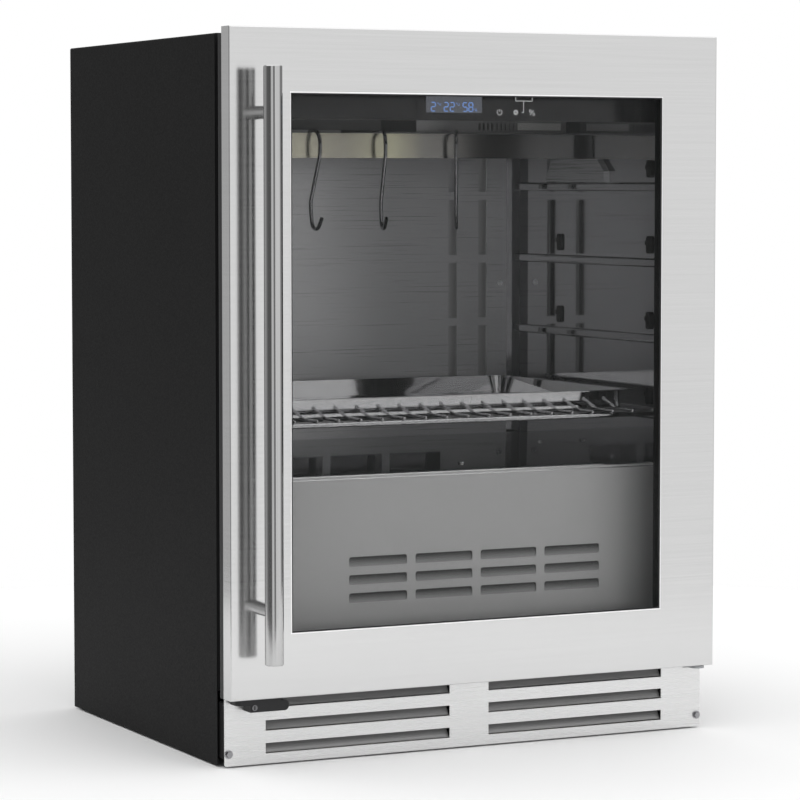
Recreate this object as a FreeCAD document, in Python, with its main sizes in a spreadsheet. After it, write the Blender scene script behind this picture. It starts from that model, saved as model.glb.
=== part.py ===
import FreeCAD, Part
import math
import os
import re

import Sketcher
from FreeCAD import Placement, Rotation, Vector

# An under-counter cabinet for dry-ageing meat: a cooled, stainless-lined chamber behind a
# full-height glass door, with a hanging rail, hooks, one wire shelf and a drip tray. The
# machine space is under and behind the chamber, and it breathes through the plinth grille.
#
# Frame: +Z up, +Y to the rear, +X to the right as seen by someone facing the door. The origin
# is on the floor, under the middle of the whole object. Millimetres.

doc = FreeCAD.newDocument("ageing_cabinet")
sheet = doc.addObject("Spreadsheet::Sheet", "sizes")

# Depths whose note says "behind the door" are measured back from the door's front face.
SIZES = [
    ("width_all", 595, "overall width, door and case"),
    ("depth_all", 515, "overall depth, handle to rear edge"),
    ("handle_reach", 45, "how far the handle stands out of the door"),
    ("door_top", 785, "height of the door's top edge"),
    ("door_low", 75.5, "height of the door's bottom edge"),
    ("skirt_low", 2, "height of the case's lowest edge, feet wound in"),
    ("door_deep", 34, "door thickness without its seal"),
    ("return_deep", 20, "depth of the steel frame's bent edges"),
    ("steel", 1.2, "door steel thickness"),
    ("stile", 70, "width of the door's side members"),
    ("crosspiece", 68, "height of the door's top and bottom members"),
    ("pane", 4, "glass thickness"),
    ("pane_gap", 12, "gap between the two panes"),
    ("pane_lap", 12.5, "how far the glass goes behind the steel"),
    ("case_front", 38, "case front, behind the door"),
    ("case_top", 779, "height of the case's top"),
    ("case_sheet", 1, "case sheet thickness"),
    ("trim_deep", 5, "thickness of the front trim frame"),
    ("chamber_half", 264.7, "half the chamber's width"),
    ("chamber_floor", 122, "height of the chamber's floor"),
    ("chamber_roof", 735, "height of the chamber's ceiling"),
    ("chamber_rear", 430, "chamber's rear wall, behind the door"),
    ("liner_sheet", 1.2, "liner thickness"),
    ("hump_top", 272, "height of the step over the machine space"),
    ("hump_front", 190, "front of that step, behind the door"),
    ("machine_roof", 236, "height of the rear machine space"),
    ("machine_front", 226, "front of the rear machine space, behind the door"),
    ("foam_low", 82, "underside of the insulation below the chamber"),
    ("cover_sheet", 1, "thickness of the chamber's cover plates"),
    ("step_face", 62, "louvred panel, behind the door"),
    ("step_top", 304, "height of the step plate at its front edge"),
    ("step_rise", 10, "how much higher the step plate is at its rear"),
    ("duct_face", 409, "rear duct cover, behind the door"),
    ("cover_half", 249.6, "half the rear duct cover's width"),
    ("rib_top_row", 617.3, "height of the highest pair of shelf ribs"),
    ("rib_pitch", 86.8, "height from rib to rib"),
    ("rib_tall", 10, "height of a rib"),
    ("rib_out", 6, "how far a rib stands out of the wall"),
    ("rib_start", 64, "front end of a rib, behind the door"),
    ("rib_end", 404, "rear end of a rib, behind the door"),
    ("rib_end_lowest", 383, "the same on the lowest row, clear of the shelf's rear bar"),
    ("rail_back", 245, "middle of the hanging rail, behind the door"),
    ("rail_low", 650.3, "height of the rail's lower edge"),
    ("rail_tall", 28.3, "height of the rail"),
    ("rail_thick", 4, "thickness of the rail"),
    ("rail_half", 262, "half the rail's length"),
    ("rail_foot", 22, "length of the rail's turned-back ends"),
    ("shelf_front", 58, "shelf's front bar, behind the door"),
    ("shelf_rear", 400, "shelf's rear bar, behind the door"),
    ("shelf_half", 261, "half the shelf's width, to the middle of its side wires"),
    ("bar_radius", 3, "shelf frame bar radius"),
    ("wire_radius", 1.8, "shelf wire radius"),
    ("wire_pitch", 26.35, "shelf wire spacing"),
    ("tray_half", 243, "half the drip tray's width over its rim"),
    ("tray_front", 80, "tray's front rim, behind the door"),
    ("tray_rear", 400, "tray's rear rim, behind the door"),
    ("tray_tall", 20, "tray depth"),
    ("tray_slope", 3, "how far the tray's sides lean out"),
    ("fascia_low", 690, "height of the control fascia's lower edge"),
    ("fascia_face", 52, "control fascia, behind the door"),
    ("glass_left", -53, "left edge of the touch panel"),
    ("glass_right", 104.7, "right edge of the touch panel"),
    ("pod_low", 681.1, "height of the ceiling pod's underside"),
    ("pod_face", 268, "ceiling pod's front, behind the door"),
    ("pod_rear", 380, "ceiling pod's rear, behind the door"),
    ("plinth_face", 24, "plinth grille, behind the door"),
    ("plinth_half", 295, "half the plinth's width"),
    ("plinth_low", 2, "height of the plinth's lower edge"),
    ("plinth_top", 74, "height of the plinth's upper edge"),
    ("vent_low", 12.6, "height of the lowest plinth slot"),
    ("vent_tall", 11.5, "height of a plinth slot"),
    ("vent_pitch", 24.6, "height from slot to slot"),
    ("base_low", 10, "height of the base pan's underside"),
    ("base_sheet", 1.5, "base pan thickness"),
    ("foot_in", 42, "foot centre, in from the case's side"),
    ("foot_front", 80, "front feet, behind the door"),
    ("foot_rear", 425, "rear feet, behind the door"),
    ("pin_in", 13, "hinge axis, in from the door's right edge"),
    ("pin_back", 13, "hinge axis, behind the door"),
    ("pin_radius", 3, "hinge pin radius"),
    ("pin_fit", 0.05, "radial play of the pin in its bush"),
    ("bar_out", 35, "handle bar's axis in front of the door"),
    ("grip_radius", 10, "handle bar radius"),
    ("grip_in", 34.5, "handle bar's axis, in from the door's left edge"),
    ("grip_low", 117, "height of the bar's lower end"),
    ("grip_high", 743, "height of the bar's upper end"),
    ("post_low", 173, "height of the lower post"),
    ("post_high", 695, "height of the upper post"),
    ("post_radius", 7.2, "post radius"),
    ("lock_left", -288, "left end of the lock body"),
    ("lock_right", -228, "right end of the lock body"),
]
ORIGIN_CELLS = [
    ("front", "=-depth_all / 2 + handle_reach", "door's front face in Y"),
    ("half", "=width_all / 2", "half the overall width"),
    ("rear", "=depth_all / 2", "rear edge in Y"),
    ("pin_across", "=width_all / 2 - pin_in", "hinge axis in X"),
    ("grip_across", "=-width_all / 2 + grip_in", "handle bar's axis in X"),
]
for row, (alias, value, meaning) in enumerate(SIZES + ORIGIN_CELLS, start=1):
    sheet.set(f"A{row}", meaning)
    sheet.set(f"B{row}", str(value))
    sheet.setAlias(f"B{row}", alias)
doc.recompute()

TURNS = {
    "x": Rotation(Vector(0, 1, 0), 90),
    "y": Rotation(Vector(1, 0, 0), -90),
    "z": Rotation(),
}
nodes = []


def size(alias):
    """The number in the cell with this alias."""
    return float(getattr(sheet, alias))


def bind(text):
    """An expression on the sheet's cells, from one that uses the bare aliases."""
    return re.sub(r"[a-z][a-z_]{2,}", lambda word: "sizes." + word.group(), str(text))


def node(name, item):
    """Names a finished sub-part and keeps it for the checks and the export."""
    item.Label = name
    nodes.append(item)
    return item


def box(name, x, y, z):
    """A block between three pairs of expressions, each (low, high)."""
    block = doc.addObject("Part::Box", name)
    for side, axis, (low, high) in (("Length", "x", x), ("Width", "y", y), ("Height", "z", z)):
        block.setExpression(side, bind(f"({high}) - ({low})"))
        block.setExpression(f"Placement.Base.{axis}", bind(low))
    return block


def rod(name, radius, start, length, axis):
    """A cylinder from the point start, along the named axis."""
    cylinder = doc.addObject("Part::Cylinder", name)
    cylinder.setExpression("Radius", bind(radius))
    cylinder.setExpression("Height", bind(length))
    cylinder.Placement = Placement(Vector(), TURNS[axis])
    for letter, place in zip("xyz", start):
        cylinder.setExpression(f"Placement.Base.{letter}", bind(place))
    return cylinder


def cut(name, base, tool):
    """base less tool, where tool is one object or a list."""
    result = doc.addObject("Part::Cut", name)
    result.Base = base
    result.Tool = group(name + "_tools", tool) if isinstance(tool, list) else tool
    return result


def fuse(name, parts):
    """One solid from parts that touch or overlap."""
    result = doc.addObject("Part::MultiFuse", name)
    result.Shapes = parts
    result.Refine = True
    return result


def group(name, parts):
    """Separate solids under one name."""
    result = doc.addObject("Part::Compound", name)
    result.Links = parts
    return result


def edges_along(item, axis):
    """Numbers of the straight edges parallel to the named axis."""
    item.recompute(True)
    direction = {"x": Vector(1, 0, 0), "y": Vector(0, 1, 0), "z": Vector(0, 0, 1)}[axis]
    found = []
    for number, edge in enumerate(item.Shape.Edges, start=1):
        if isinstance(edge.Curve, Part.Line) and edge.Curve.Direction.cross(direction).Length < 1e-6:
            found.append(number)
    return found


def rounded(name, item, axis, radius, keep=None):
    """item with its edges along one axis rounded; keep picks among them by their middle."""
    chosen = edges_along(item, axis)
    if keep:
        chosen = [n for n in chosen if keep(item.Shape.Edges[n - 1].CenterOfMass)]
    result = doc.addObject("Part::Fillet", name)
    result.Base = item
    result.Edges = [(n, radius, radius) for n in chosen]
    return result


def eased(name, item, width, keep):
    """item with the round edges that keep picks chamfered."""
    item.recompute(True)
    result = doc.addObject("Part::Chamfer", name)
    result.Base = item
    result.Edges = [(n, width, width) for n, edge in enumerate(item.Shape.Edges, start=1)
                    if isinstance(edge.Curve, Part.Circle) and keep(edge)]
    return result


def body(name):
    return doc.addObject("PartDesign::Body", name)


def sketch_on(owner, name, role, offset):
    """A sketch on one of the body's origin planes, moved by offset along its normal."""
    sketch = owner.newObject("Sketcher::SketchObject", name)
    plane = [item for item in owner.Origin.OriginFeatures if item.Role == role][0]
    sketch.AttachmentSupport = [(plane, "")]
    sketch.MapMode = "FlatFace"
    sketch.setExpression("AttachmentOffset.Base.z", bind(offset))
    return sketch


def rectangle(sketch, across, up):
    """A rectangle between two pairs of expressions, in the sketch's own directions."""
    first = sketch.GeometryCount
    corners = [Vector(0, 0, 0), Vector(1, 0, 0), Vector(1, 1, 0), Vector(0, 1, 0)]
    for turn in range(4):
        sketch.addGeometry(Part.LineSegment(corners[turn], corners[(turn + 1) % 4]), False)
    for turn in range(4):
        sketch.addConstraint(Sketcher.Constraint("Coincident", first + turn, 2, first + (turn + 1) % 4, 1))
        sketch.addConstraint(Sketcher.Constraint("Vertical" if turn % 2 else "Horizontal", first + turn))
    limits = (("DistanceX", first, 1, 0, across[0]), ("DistanceX", first, 2, 1, across[1]),
              ("DistanceY", first, 1, 0, up[0]), ("DistanceY", first + 2, 1, 1, up[1]))
    for kind, line, end, at, text in limits:
        number = sketch.addConstraint(Sketcher.Constraint(kind, -1, 1, line, end, float(at)))
        sketch.setExpression(f"Constraints[{number}]", bind(text))


def pad(owner, sketch, name, length, towards_rear=True):
    """A pad of a sketch on the XZ plane, whose own normal points at -Y."""
    feature = owner.newObject("PartDesign::Pad", name)
    feature.Profile = sketch
    feature.setExpression("Length", bind(length))
    feature.Reversed = towards_rear
    return feature


def pocket(owner, sketch, name, length, reversed_way=False):
    """A pocket that has to take material away."""
    owner.recompute(True)
    before = owner.Shape.Volume
    feature = owner.newObject("PartDesign::Pocket", name)
    feature.Profile = sketch
    feature.setExpression("Length", bind(length))
    feature.Reversed = reversed_way
    owner.recompute(True)
    if owner.Shape.Volume > before - 1:
        raise RuntimeError(f"{name} cuts nothing")
    return feature


def plate(name, across, up, at, thick, holes=()):
    """A flat panel facing the front, as a body: one pad, then one pocket with all its holes."""
    panel = body(name)
    outline = sketch_on(panel, name + "_outline", "XZ_Plane", f"-({at})")
    rectangle(outline, across, up)
    pad(panel, outline, name + "_pad", thick)
    if holes:
        cuts = sketch_on(panel, name + "_holes", "XZ_Plane", f"-({at})")
        for hole in holes:
            rectangle(cuts, *hole)
        pocket(panel, cuts, name + "_cut", thick)
    return panel


def ring(name, across, up, inner_across, inner_up, at, thick):
    """A flat rectangular frame facing the front, as a body."""
    return plate(name, across, up, at, thick, [(inner_across, inner_up)])


def turned(name, profile, centre):
    """A turned piece about Z: profile is a list of (radius, height) points, closed on the axis."""
    points = [Vector(r, 0, h) for r, h in profile]
    face = Part.Face(Part.makePolygon(points + [points[0]]))
    piece = doc.addObject("Part::Feature", name)
    piece.Shape = face.revolve(Vector(), Vector(0, 0, 1), 360)
    piece.Placement = Placement(centre, Rotation())
    return piece


def bent_tube(name, points, radius, bends):
    """A round bar along straight runs joined by tangent arcs; bends has one radius per corner."""
    edges = []
    last = points[0]
    for corner, nxt, bend in zip(points[1:-1], points[2:], bends):
        incoming = (corner - last).normalize()
        outgoing = (nxt - corner).normalize()
        turn = incoming.getAngle(outgoing)
        back = bend * math.tan(turn / 2)
        start = corner - incoming * back
        end = corner + outgoing * back
        inward = (outgoing - incoming).normalize()
        middle = corner + inward * (bend / math.cos(turn / 2) - bend)
        if (start - last).Length > 1e-6:
            edges.append(Part.LineSegment(last, start).toShape())
        edges.append(Part.Arc(start, middle, end).toShape())
        last = end
    if (points[-1] - last).Length > 1e-6:
        edges.append(Part.LineSegment(last, points[-1]).toShape())
    path = Part.Wire(edges)
    first_way = points[1] - points[0]
    circle = Part.Wire(Part.Circle(points[0], first_way, radius).toShape())
    piece = doc.addObject("Part::Feature", name)
    piece.Shape = path.makePipeShell([circle], True, True)
    return piece


def finned_coil(name, low, high, fins, tubes_across, tubes_up, tube_radius):
    """A fin-and-tube coil: upright fins across X, tubes along X with end plates."""
    parts = []
    length = high.x - low.x
    step = (length - 1) / (fins - 1)
    for number in range(fins):
        thick = 1.4 if number in (0, fins - 1) else 0.5
        fin = doc.addObject("Part::Box", f"{name}_fin_{number}")
        fin.Length, fin.Width, fin.Height = thick, high.y - low.y, high.z - low.z
        fin.Placement.Base = Vector(low.x + number * step - thick / 2, low.y, low.z)
        parts.append(fin)
    for column in range(tubes_across):
        for level in range(tubes_up):
            tube = doc.addObject("Part::Cylinder", f"{name}_tube_{column}_{level}")
            tube.Radius, tube.Height = tube_radius, length + 12
            y = low.y + (column + 0.5) * (high.y - low.y) / tubes_across
            z = low.z + (level + 0.5) * (high.z - low.z) / tubes_up
            tube.Placement = Placement(Vector(low.x - 6, y, z), TURNS["x"])
            parts.append(tube)
    return fuse(name, parts)


def fan(name, centre, side, deep, blades):
    """An axial fan blowing along Y: its square frame with a motor spider, and its rotor."""
    frame_low = centre - Vector(side / 2, deep / 2, side / 2)
    block = doc.addObject("Part::Box", name + "_block")
    block.Length, block.Width, block.Height = side, deep, side
    block.Placement.Base = frame_low
    throat = doc.addObject("Part::Cylinder", name + "_throat")
    throat.Radius, throat.Height = side / 2 - 3, deep + 2
    throat.Placement = Placement(centre - Vector(0, deep / 2 + 1, 0), TURNS["y"])
    shell = cut(name + "_shell", block, throat)
    motor = doc.addObject("Part::Cylinder", name + "_motor")
    motor.Radius, motor.Height = side * 0.17, 5
    motor.Placement = Placement(centre + Vector(0, deep / 2 - 5, 0), TURNS["y"])
    arms = []
    for turn in range(3):
        arm = doc.addObject("Part::Box", f"{name}_arm_{turn}")
        arm.Length, arm.Width, arm.Height = side / 2 - 1, 3, 5
        spin = Rotation(Vector(0, 1, 0), 120 * turn + 30)
        start = centre + Vector(0, deep / 2 - 3, 0) + spin.multVec(Vector(0, 0, -2.5))
        arm.Placement = Placement(start, spin)
        arms.append(arm)
    spindle = doc.addObject("Part::Cylinder", name + "_spindle")
    spindle.Radius, spindle.Height = 2, deep - 7
    spindle.Placement = Placement(centre - Vector(0, deep / 2 - 4, 0), TURNS["y"])
    frame = fuse(name + "_frame_solid", [shell, motor, spindle] + arms)
    hub = doc.addObject("Part::Cylinder", name + "_hub")
    hub.Radius, hub.Height = side * 0.17, deep - 8
    hub.Placement = Placement(centre - Vector(0, deep / 2 - 2, 0), TURNS["y"])
    vanes = []
    for turn in range(blades):
        vane = doc.addObject("Part::Box", f"{name}_vane_{turn}")
        vane.Length, vane.Width, vane.Height = side * 0.30 - 0.5, 1.6, side * 0.22
        pitch = Rotation(Vector(1, 0, 0), 35)
        spin = Rotation(Vector(0, 1, 0), 360 / blades * turn)
        turn_all = spin.multiply(pitch)
        offset = spin.multVec(Vector(side * 0.16, 0, 0)) + turn_all.multVec(Vector(0, -0.8, -side * 0.11))
        vane.Placement = Placement(centre - Vector(0, 2.5, 0) + offset, turn_all)
        vanes.append(vane)
    wheel = fuse(name + "_wheel", [hub] + vanes)
    bore = doc.addObject("Part::Cylinder", name + "_bore")
    bore.Radius, bore.Height = 2.05, deep - 7.5
    bore.Placement = Placement(centre - Vector(0, deep / 2 - 3.7, 0), TURNS["y"])
    return frame, cut(name + "_rotor_solid", wheel, bore)


# ---- Case: painted wrapper, rear panel, base pan, insulation, front trim ----
case_y = ("front + case_front", "rear")
shell = box("wrapper_block", ("-half", "half"), case_y, ("skirt_low", "case_top"))
shell = rounded("wrapper_bends", shell, "y", 2, lambda middle: middle.z > size("case_top") / 2)
hollow = box("wrapper_hollow", ("-half + case_sheet", "half - case_sheet"),
             ("front + case_front - 1", "rear + 1"), ("skirt_low - 1", "case_top - case_sheet"))
node("outer_wrapper", cut("wrapper_shell", shell, hollow))

inside = ("-half + case_sheet", "half - case_sheet")
back_plane = "rear - 4"
node("rear_panel", plate("rear_sheet", inside, ("machine_roof", "case_top - case_sheet"),
                         back_plane, "case_sheet"))

service_columns = list(range(-258, -60, 16)) + list(range(62, 262, 16))
service_cuts = [box(f"service_slot_{low}_{column}", (column, column + 6), ("rear - 5", "rear - 2"),
                    (low, low + 38)) for low in (60, 110, 160) for column in service_columns]
service_cuts.append(box("inlet_hole", (-30, 0), ("rear - 5", "rear - 2"), (50, 74)))
node("service_cover", cut("service_sheet", box("service_blank", inside, (back_plane, "rear - 3"),
                                               (12, "machine_roof")), service_cuts))

pan = box("pan_block", ("-plinth_half", "plinth_half"), ("front + plinth_face + 3", "rear - 5"),
          ("base_low", "plinth_top - 4"))
pan_hollow = box("pan_hollow", ("-plinth_half + base_sheet", "plinth_half - base_sheet"),
                 ("front + plinth_face", "rear - 5 - base_sheet"), ("base_low + base_sheet", "plinth_top"))
pan_rear_gap = box("pan_rear_gap", ("-plinth_half + base_sheet", "plinth_half - base_sheet"),
                   ("rear - 8", "rear - 4"), ("base_low + 12", "plinth_top"))
pan = cut("pan_sheet", pan, [pan_hollow, pan_rear_gap])
foot_spots = {
    f"{end}_{side}": (f"{sign}(half - foot_in)", f"front + foot_{end}")
    for end in ("front", "rear") for side, sign in (("left", "-"), ("right", ""))
}
bosses = [rod(f"boss_{spot}", 9, (x, y, "base_low + 1"), 9, "z") for spot, (x, y) in foot_spots.items()]
stud_radius = 5
thread_play = 0.08
bores = [rod(f"boss_bore_{spot}", stud_radius + thread_play, (x, y, "base_low - 1"), 20, "z")
         for spot, (x, y) in foot_spots.items()]
node("base_pan", cut("pan_bored", fuse("pan_with_bosses", [pan] + bosses), bores))

foam = box("foam_block", inside, ("front + case_front + trim_deep", back_plane),
           ("foam_low", "case_top - case_sheet"))
wall = ("-chamber_half - liner_sheet", "chamber_half + liner_sheet")
liner_start = "front + case_front + trim_deep"
liner_high = box("liner_high", wall, (liner_start, "front + chamber_rear + liner_sheet"),
                 ("hump_top - liner_sheet", "chamber_roof + liner_sheet"))
liner_deep = box("liner_deep", wall, (liner_start, "front + hump_front + liner_sheet"),
                 ("chamber_floor - liner_sheet", "chamber_roof + liner_sheet"))
liner_outside = fuse("liner_outside", [liner_high, liner_deep])
machine_space = box("machine_space", inside, ("front + machine_front", "rear"),
                    ("foam_low - 1", "machine_roof"))
node("foam_insulation", cut("foam_body", foam, [liner_outside, machine_space]))

node("front_trim_frame", ring("trim_ring", inside, ("foam_low", "case_top - case_sheet"),
                              ("-chamber_half", "chamber_half"), ("chamber_floor", "chamber_roof"),
                              "front + case_front", "trim_deep"))


# ---- Chamber: liner with its ribs, clips, duct cover, louvred panel and step ----
chamber_x = ("-chamber_half", "chamber_half")
hollow_high = box("hollow_high", chamber_x, (f"{liner_start} - 1", "front + chamber_rear"),
                  ("hump_top", "chamber_roof"))
hollow_deep = box("hollow_deep", chamber_x, (f"{liner_start} - 1", "front + hump_front"),
                  ("chamber_floor", "chamber_roof"))
liner_shell = cut("liner_shell", liner_outside, [hollow_high, hollow_deep])
RIB_LEVELS = 4
CLIP_OUT = 3
ribs = []
clips = []
for level in range(RIB_LEVELS):
    middle = f"(rib_top_row - {level} * rib_pitch)"
    for side, sign in (("left", -1), ("right", 1)):
        root, tip = "chamber_half + 0.5", "chamber_half - rib_out"
        across = (tip, root) if sign > 0 else (f"-({root})", f"-({tip})")
        rib_stop = "front + rib_end_lowest" if level == RIB_LEVELS - 1 else "front + rib_end"
        rib = box(f"rib_{side}_{level}", across, ("front + rib_start", rib_stop),
                  (f"{middle} - rib_tall / 2", f"{middle} + rib_tall / 2"))
        inner = size("chamber_half") - 2
        ribs.append(rounded(f"rib_{side}_{level}_eased", rib, "y", 2.5, lambda point: abs(point.x) < inner))
        # The rail bracket takes the rear clip's place on the highest rib.
        for depth in (88.5, 299) if level else (88.5,):
            name = f"clip_{side}_{level}_{int(depth)}"
            stem_out, tab_out = f"chamber_half - {CLIP_OUT}", f"chamber_half - {CLIP_OUT - 1}"
            stem_x = (stem_out, "chamber_half") if sign > 0 else ("-chamber_half", f"-({stem_out})")
            tab_x = (tab_out, "chamber_half") if sign > 0 else ("-chamber_half", f"-({tab_out})")
            stem = box(name, stem_x, (f"front + {depth} - 4.5", f"front + {depth} + 4.5"),
                       (f"{middle} + 10.5", f"{middle} + 30.5"))
            stem = rounded(name + "_stem", stem, "x", 3.5)
            tab = box(name + "_tab", tab_x, (f"front + {depth} + 3", f"front + {depth} + 9"),
                      (f"{middle} + 20", f"{middle} + 25"))
            clips.append(fuse(name + "_whole", [stem, tab]))
node("inner_liner", fuse("liner_with_ribs", [liner_shell] + ribs))
node("shelf_clips", group("clip_set", clips))

SCREW_HEAD, SCREW_SHANK = 3.6, 1.7
top_spots = [(39, 123), (-240, 131), (240, 131), (-235, 296), (235, 296)]
cover_spots = [(x, height) for height in (338, 499.2, 700) for x in (-239.8, 239.8)]
step_slope = "step_rise / (duct_face - step_face)"
screws = []
for number, (x, depth) in enumerate(top_spots):
    surface = f"step_top + ({depth} - step_face) * {step_slope} - 0.1"
    head = rod(f"top_head_{number}", SCREW_HEAD, (x, f"front + {depth}", surface), 1.8, "z")
    shank = rod(f"top_shank_{number}", SCREW_SHANK, (x, f"front + {depth}", surface + " - 7"), 8, "z")
    screws.append(fuse(f"top_screw_{number}", [head, shank]))
for number, (x, height) in enumerate(cover_spots):
    head = rod(f"duct_head_{number}", SCREW_HEAD, (x, "front + duct_face - 1.8", height), 1.8, "y")
    shank = rod(f"duct_shank_{number}", SCREW_SHANK, (x, "front + duct_face - 1", height), 8, "y")
    screws.append(fuse(f"duct_screw_{number}", [head, shank]))
screw_set = node("panel_screws", group("screw_set", screws))

panel_x = ("-chamber_half + 0.5", "chamber_half - 0.5")
cover_x = ("-cover_half", "cover_half")
duct_z = ("step_top + step_rise - cover_sheet", "chamber_roof - 0.2")
duct_slots = [((f"{x} - 5.5", f"{x} + 5.5"), (f"379.7 + {step} * 77.1", f"447 + {step} * 77.1"))
              for x in (-216, -174.6, 174.6, 216) for step in range(4)]
duct_windows = [((f"{x}", f"{x} + 69.6"), ("335", "362")) for x in (-149, -69.4, 10.2, 90)]
duct_plate = plate("duct_plate", cover_x, duct_z, "front + duct_face", "cover_sheet",
                   duct_slots + duct_windows)
duct_sides = [box(f"duct_side_{side}", (low, high), ("front + duct_face", "front + chamber_rear"), duct_z)
              for side, low, high in (("left", "-cover_half", "-cover_half + cover_sheet"),
                                      ("right", "cover_half - cover_sheet", "cover_half"))]
node("rear_duct_cover", cut("duct_cover", fuse("duct_folded", [duct_plate] + duct_sides), screw_set))

LOUVRE_ROWS, LOUVRE_COLUMNS = 3, 4
louvre_panel = box("louvre_sheet", panel_x, ("front + step_face", "front + step_face + cover_sheet"),
                   ("chamber_floor + 0.2", "step_top - cover_sheet"))
louvre_cuts = []
for up in range(LOUVRE_ROWS):
    for across in range(LOUVRE_COLUMNS):
        left = -130.3 + 81.1 * across
        low = 163 + 19.9 * up
        slot = box(f"louvre_{up}_{across}", (left, left + 70.8),
                   ("front + step_face - 1", "front + step_face + 3"), (low, low + 11))
        louvre_cuts.append(rounded(f"louvre_{up}_{across}_eased", slot, "y", 2.5))
node("louvred_panel", cut("louvred_sheet", louvre_panel, louvre_cuts))

# The step plate falls a little towards the door, so that drips run forwards.
step_low, step_high = size("step_top"), size("step_top") + size("step_rise")
step_corners = [Vector(-size("chamber_half") + 0.5, size("front") + depth, height) for depth, height in (
    (size("step_face"), step_low - size("cover_sheet")), (size("duct_face"), step_high - size("cover_sheet")),
    (size("duct_face"), step_high), (size("step_face"), step_low))]
step_plate = doc.addObject("Part::Feature", "step_sheet")
step_plate.Shape = Part.Face(Part.makePolygon(step_corners + step_corners[:1])).extrude(
    Vector(2 * size("chamber_half") - 1, 0, 0))
node("step_top_plate", cut("step_sheet_bored", step_plate, screw_set))


# ---- Hanging rail, its wall brackets and the three hooks ----
brackets = []
bracket_high = size("rail_low") - 0.4
bracket_outline = [(182, 622.7), (322, 623.5), (309.5, bracket_high), (198.5, bracket_high), (182, 635.6)]
for side, start in (("left", -size("chamber_half")), ("right", size("chamber_half") - 8)):
    corners = [Vector(start, size("front") + depth, height) for depth, height in bracket_outline]
    bracket = doc.addObject("Part::Feature", f"rail_bracket_{side}")
    bracket.Shape = Part.Face(Part.makePolygon(corners + corners[:1])).extrude(Vector(8, 0, 0))
    brackets.append(bracket)
node("rail_brackets", group("bracket_pair", brackets))

rail_z = ("rail_low", "rail_low + rail_tall")
rail_block = box("rail_block", ("-rail_half", "rail_half"),
                 ("front + rail_back - rail_thick / 2", "front + rail_back - rail_thick / 2 + rail_foot"),
                 rail_z)
rail_block = rounded("rail_block_bent", rail_block, "z", 14,
                     lambda point: point.y < size("front") + size("rail_back"))
rail_hollow = box("rail_hollow", ("-rail_half + rail_thick", "rail_half - rail_thick"),
                  ("front + rail_back + rail_thick / 2", "front + rail_back + rail_foot + 5"),
                  ("rail_low - 1", "rail_low + rail_tall + 1"))
rail_hollow = rounded("rail_hollow_bent", rail_hollow, "z", 10,
                      lambda point: point.y < size("front") + size("rail_back") + 5)
node("hanging_rail", cut("rail_bar", rail_block, rail_hollow))

HOOK_WIRE = 2.2
crown = size("rail_low") + size("rail_tall") + 3.1
# Out from the rail's middle towards the door, and up from the hook's crown.
hook_line = [(-14.5, -29), (-14.5, 0), (19.5, 0), (18.6, -28), (-4.6, -83), (0, -112.5), (13.5, -112.5),
             (22.6, -100)]
hook_bends = [16.5, 16.5, 28, 24, 10, 10]
HOOKS = {"hook_left": (-89.5, 4), "hook_middle": (-1.5, -12), "hook_right": (95, -27)}
for name, (x, yaw) in HOOKS.items():
    line = [Vector(0, -out, up) for out, up in hook_line]
    hook = bent_tube(name + "_wire", line, HOOK_WIRE, hook_bends)
    hook.Placement = Placement(Vector(x, size("front") + size("rail_back"), crown),
                               Rotation(Vector(0, 0, 1), yaw))
    node(name, hook)


# ---- Wire shelf on the lowest ribs, and the drip tray on it ----
shelf_rest = 0.3
rest_height = f"rib_top_row - {RIB_LEVELS - 1} * rib_pitch + rib_tall / 2 + {shelf_rest}"
wire_height = f"{rest_height} + wire_radius"
bar_height = f"{rest_height} - bar_radius + 0.6"
bars = []
for label, depth in (("front", "shelf_front"), ("rear", "shelf_rear")):
    bars.append(rod(f"shelf_bar_{label}", "bar_radius", ("-shelf_half", f"front + {depth}", bar_height),
                    "2 * shelf_half", "x"))
for label, x in (("left", "-shelf_half"), ("right", "shelf_half")):
    bars.append(rod(f"shelf_side_{label}", "wire_radius", (x, "front + shelf_front", wire_height),
                    "shelf_rear - shelf_front", "y"))
TIE_RADIUS = 2.5
for depth in (170, 285):
    bars.append(rod(f"shelf_tie_{depth}", TIE_RADIUS,
                    ("-256", f"front + {depth}", f"{rest_height} - {TIE_RADIUS} + 0.5"), "512", "x"))
WIRES = 20
for number in range(WIRES):
    offset = number - (WIRES - 1) / 2
    start = (f"{offset} * wire_pitch", "front + shelf_front - 2", wire_height)
    bars.append(rod(f"shelf_wire_{number}", "wire_radius", start, "shelf_rear - shelf_front + 4", "y"))
node("wire_shelf", fuse("shelf_frame", bars))


def tray_outline(height, inset, corner):
    """A round-cornered rectangle at a height, inset from the tray's rim."""
    right = size("tray_half") - inset
    near = size("front") + size("tray_front") + inset
    far = size("front") + size("tray_rear") - inset
    block = Part.makePlane(2 * right, far - near, Vector(-right, near, height))
    solid = block.extrude(Vector(0, 0, 1))
    upright = [edge for edge in solid.Edges if abs(edge.Curve.Direction.z) > 0.9]
    solid = solid.makeFillet(corner, upright)
    bottom = [face for face in solid.Faces if abs(face.CenterOfMass.z - height) < 1e-6][0]
    return bottom.OuterWire


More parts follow.
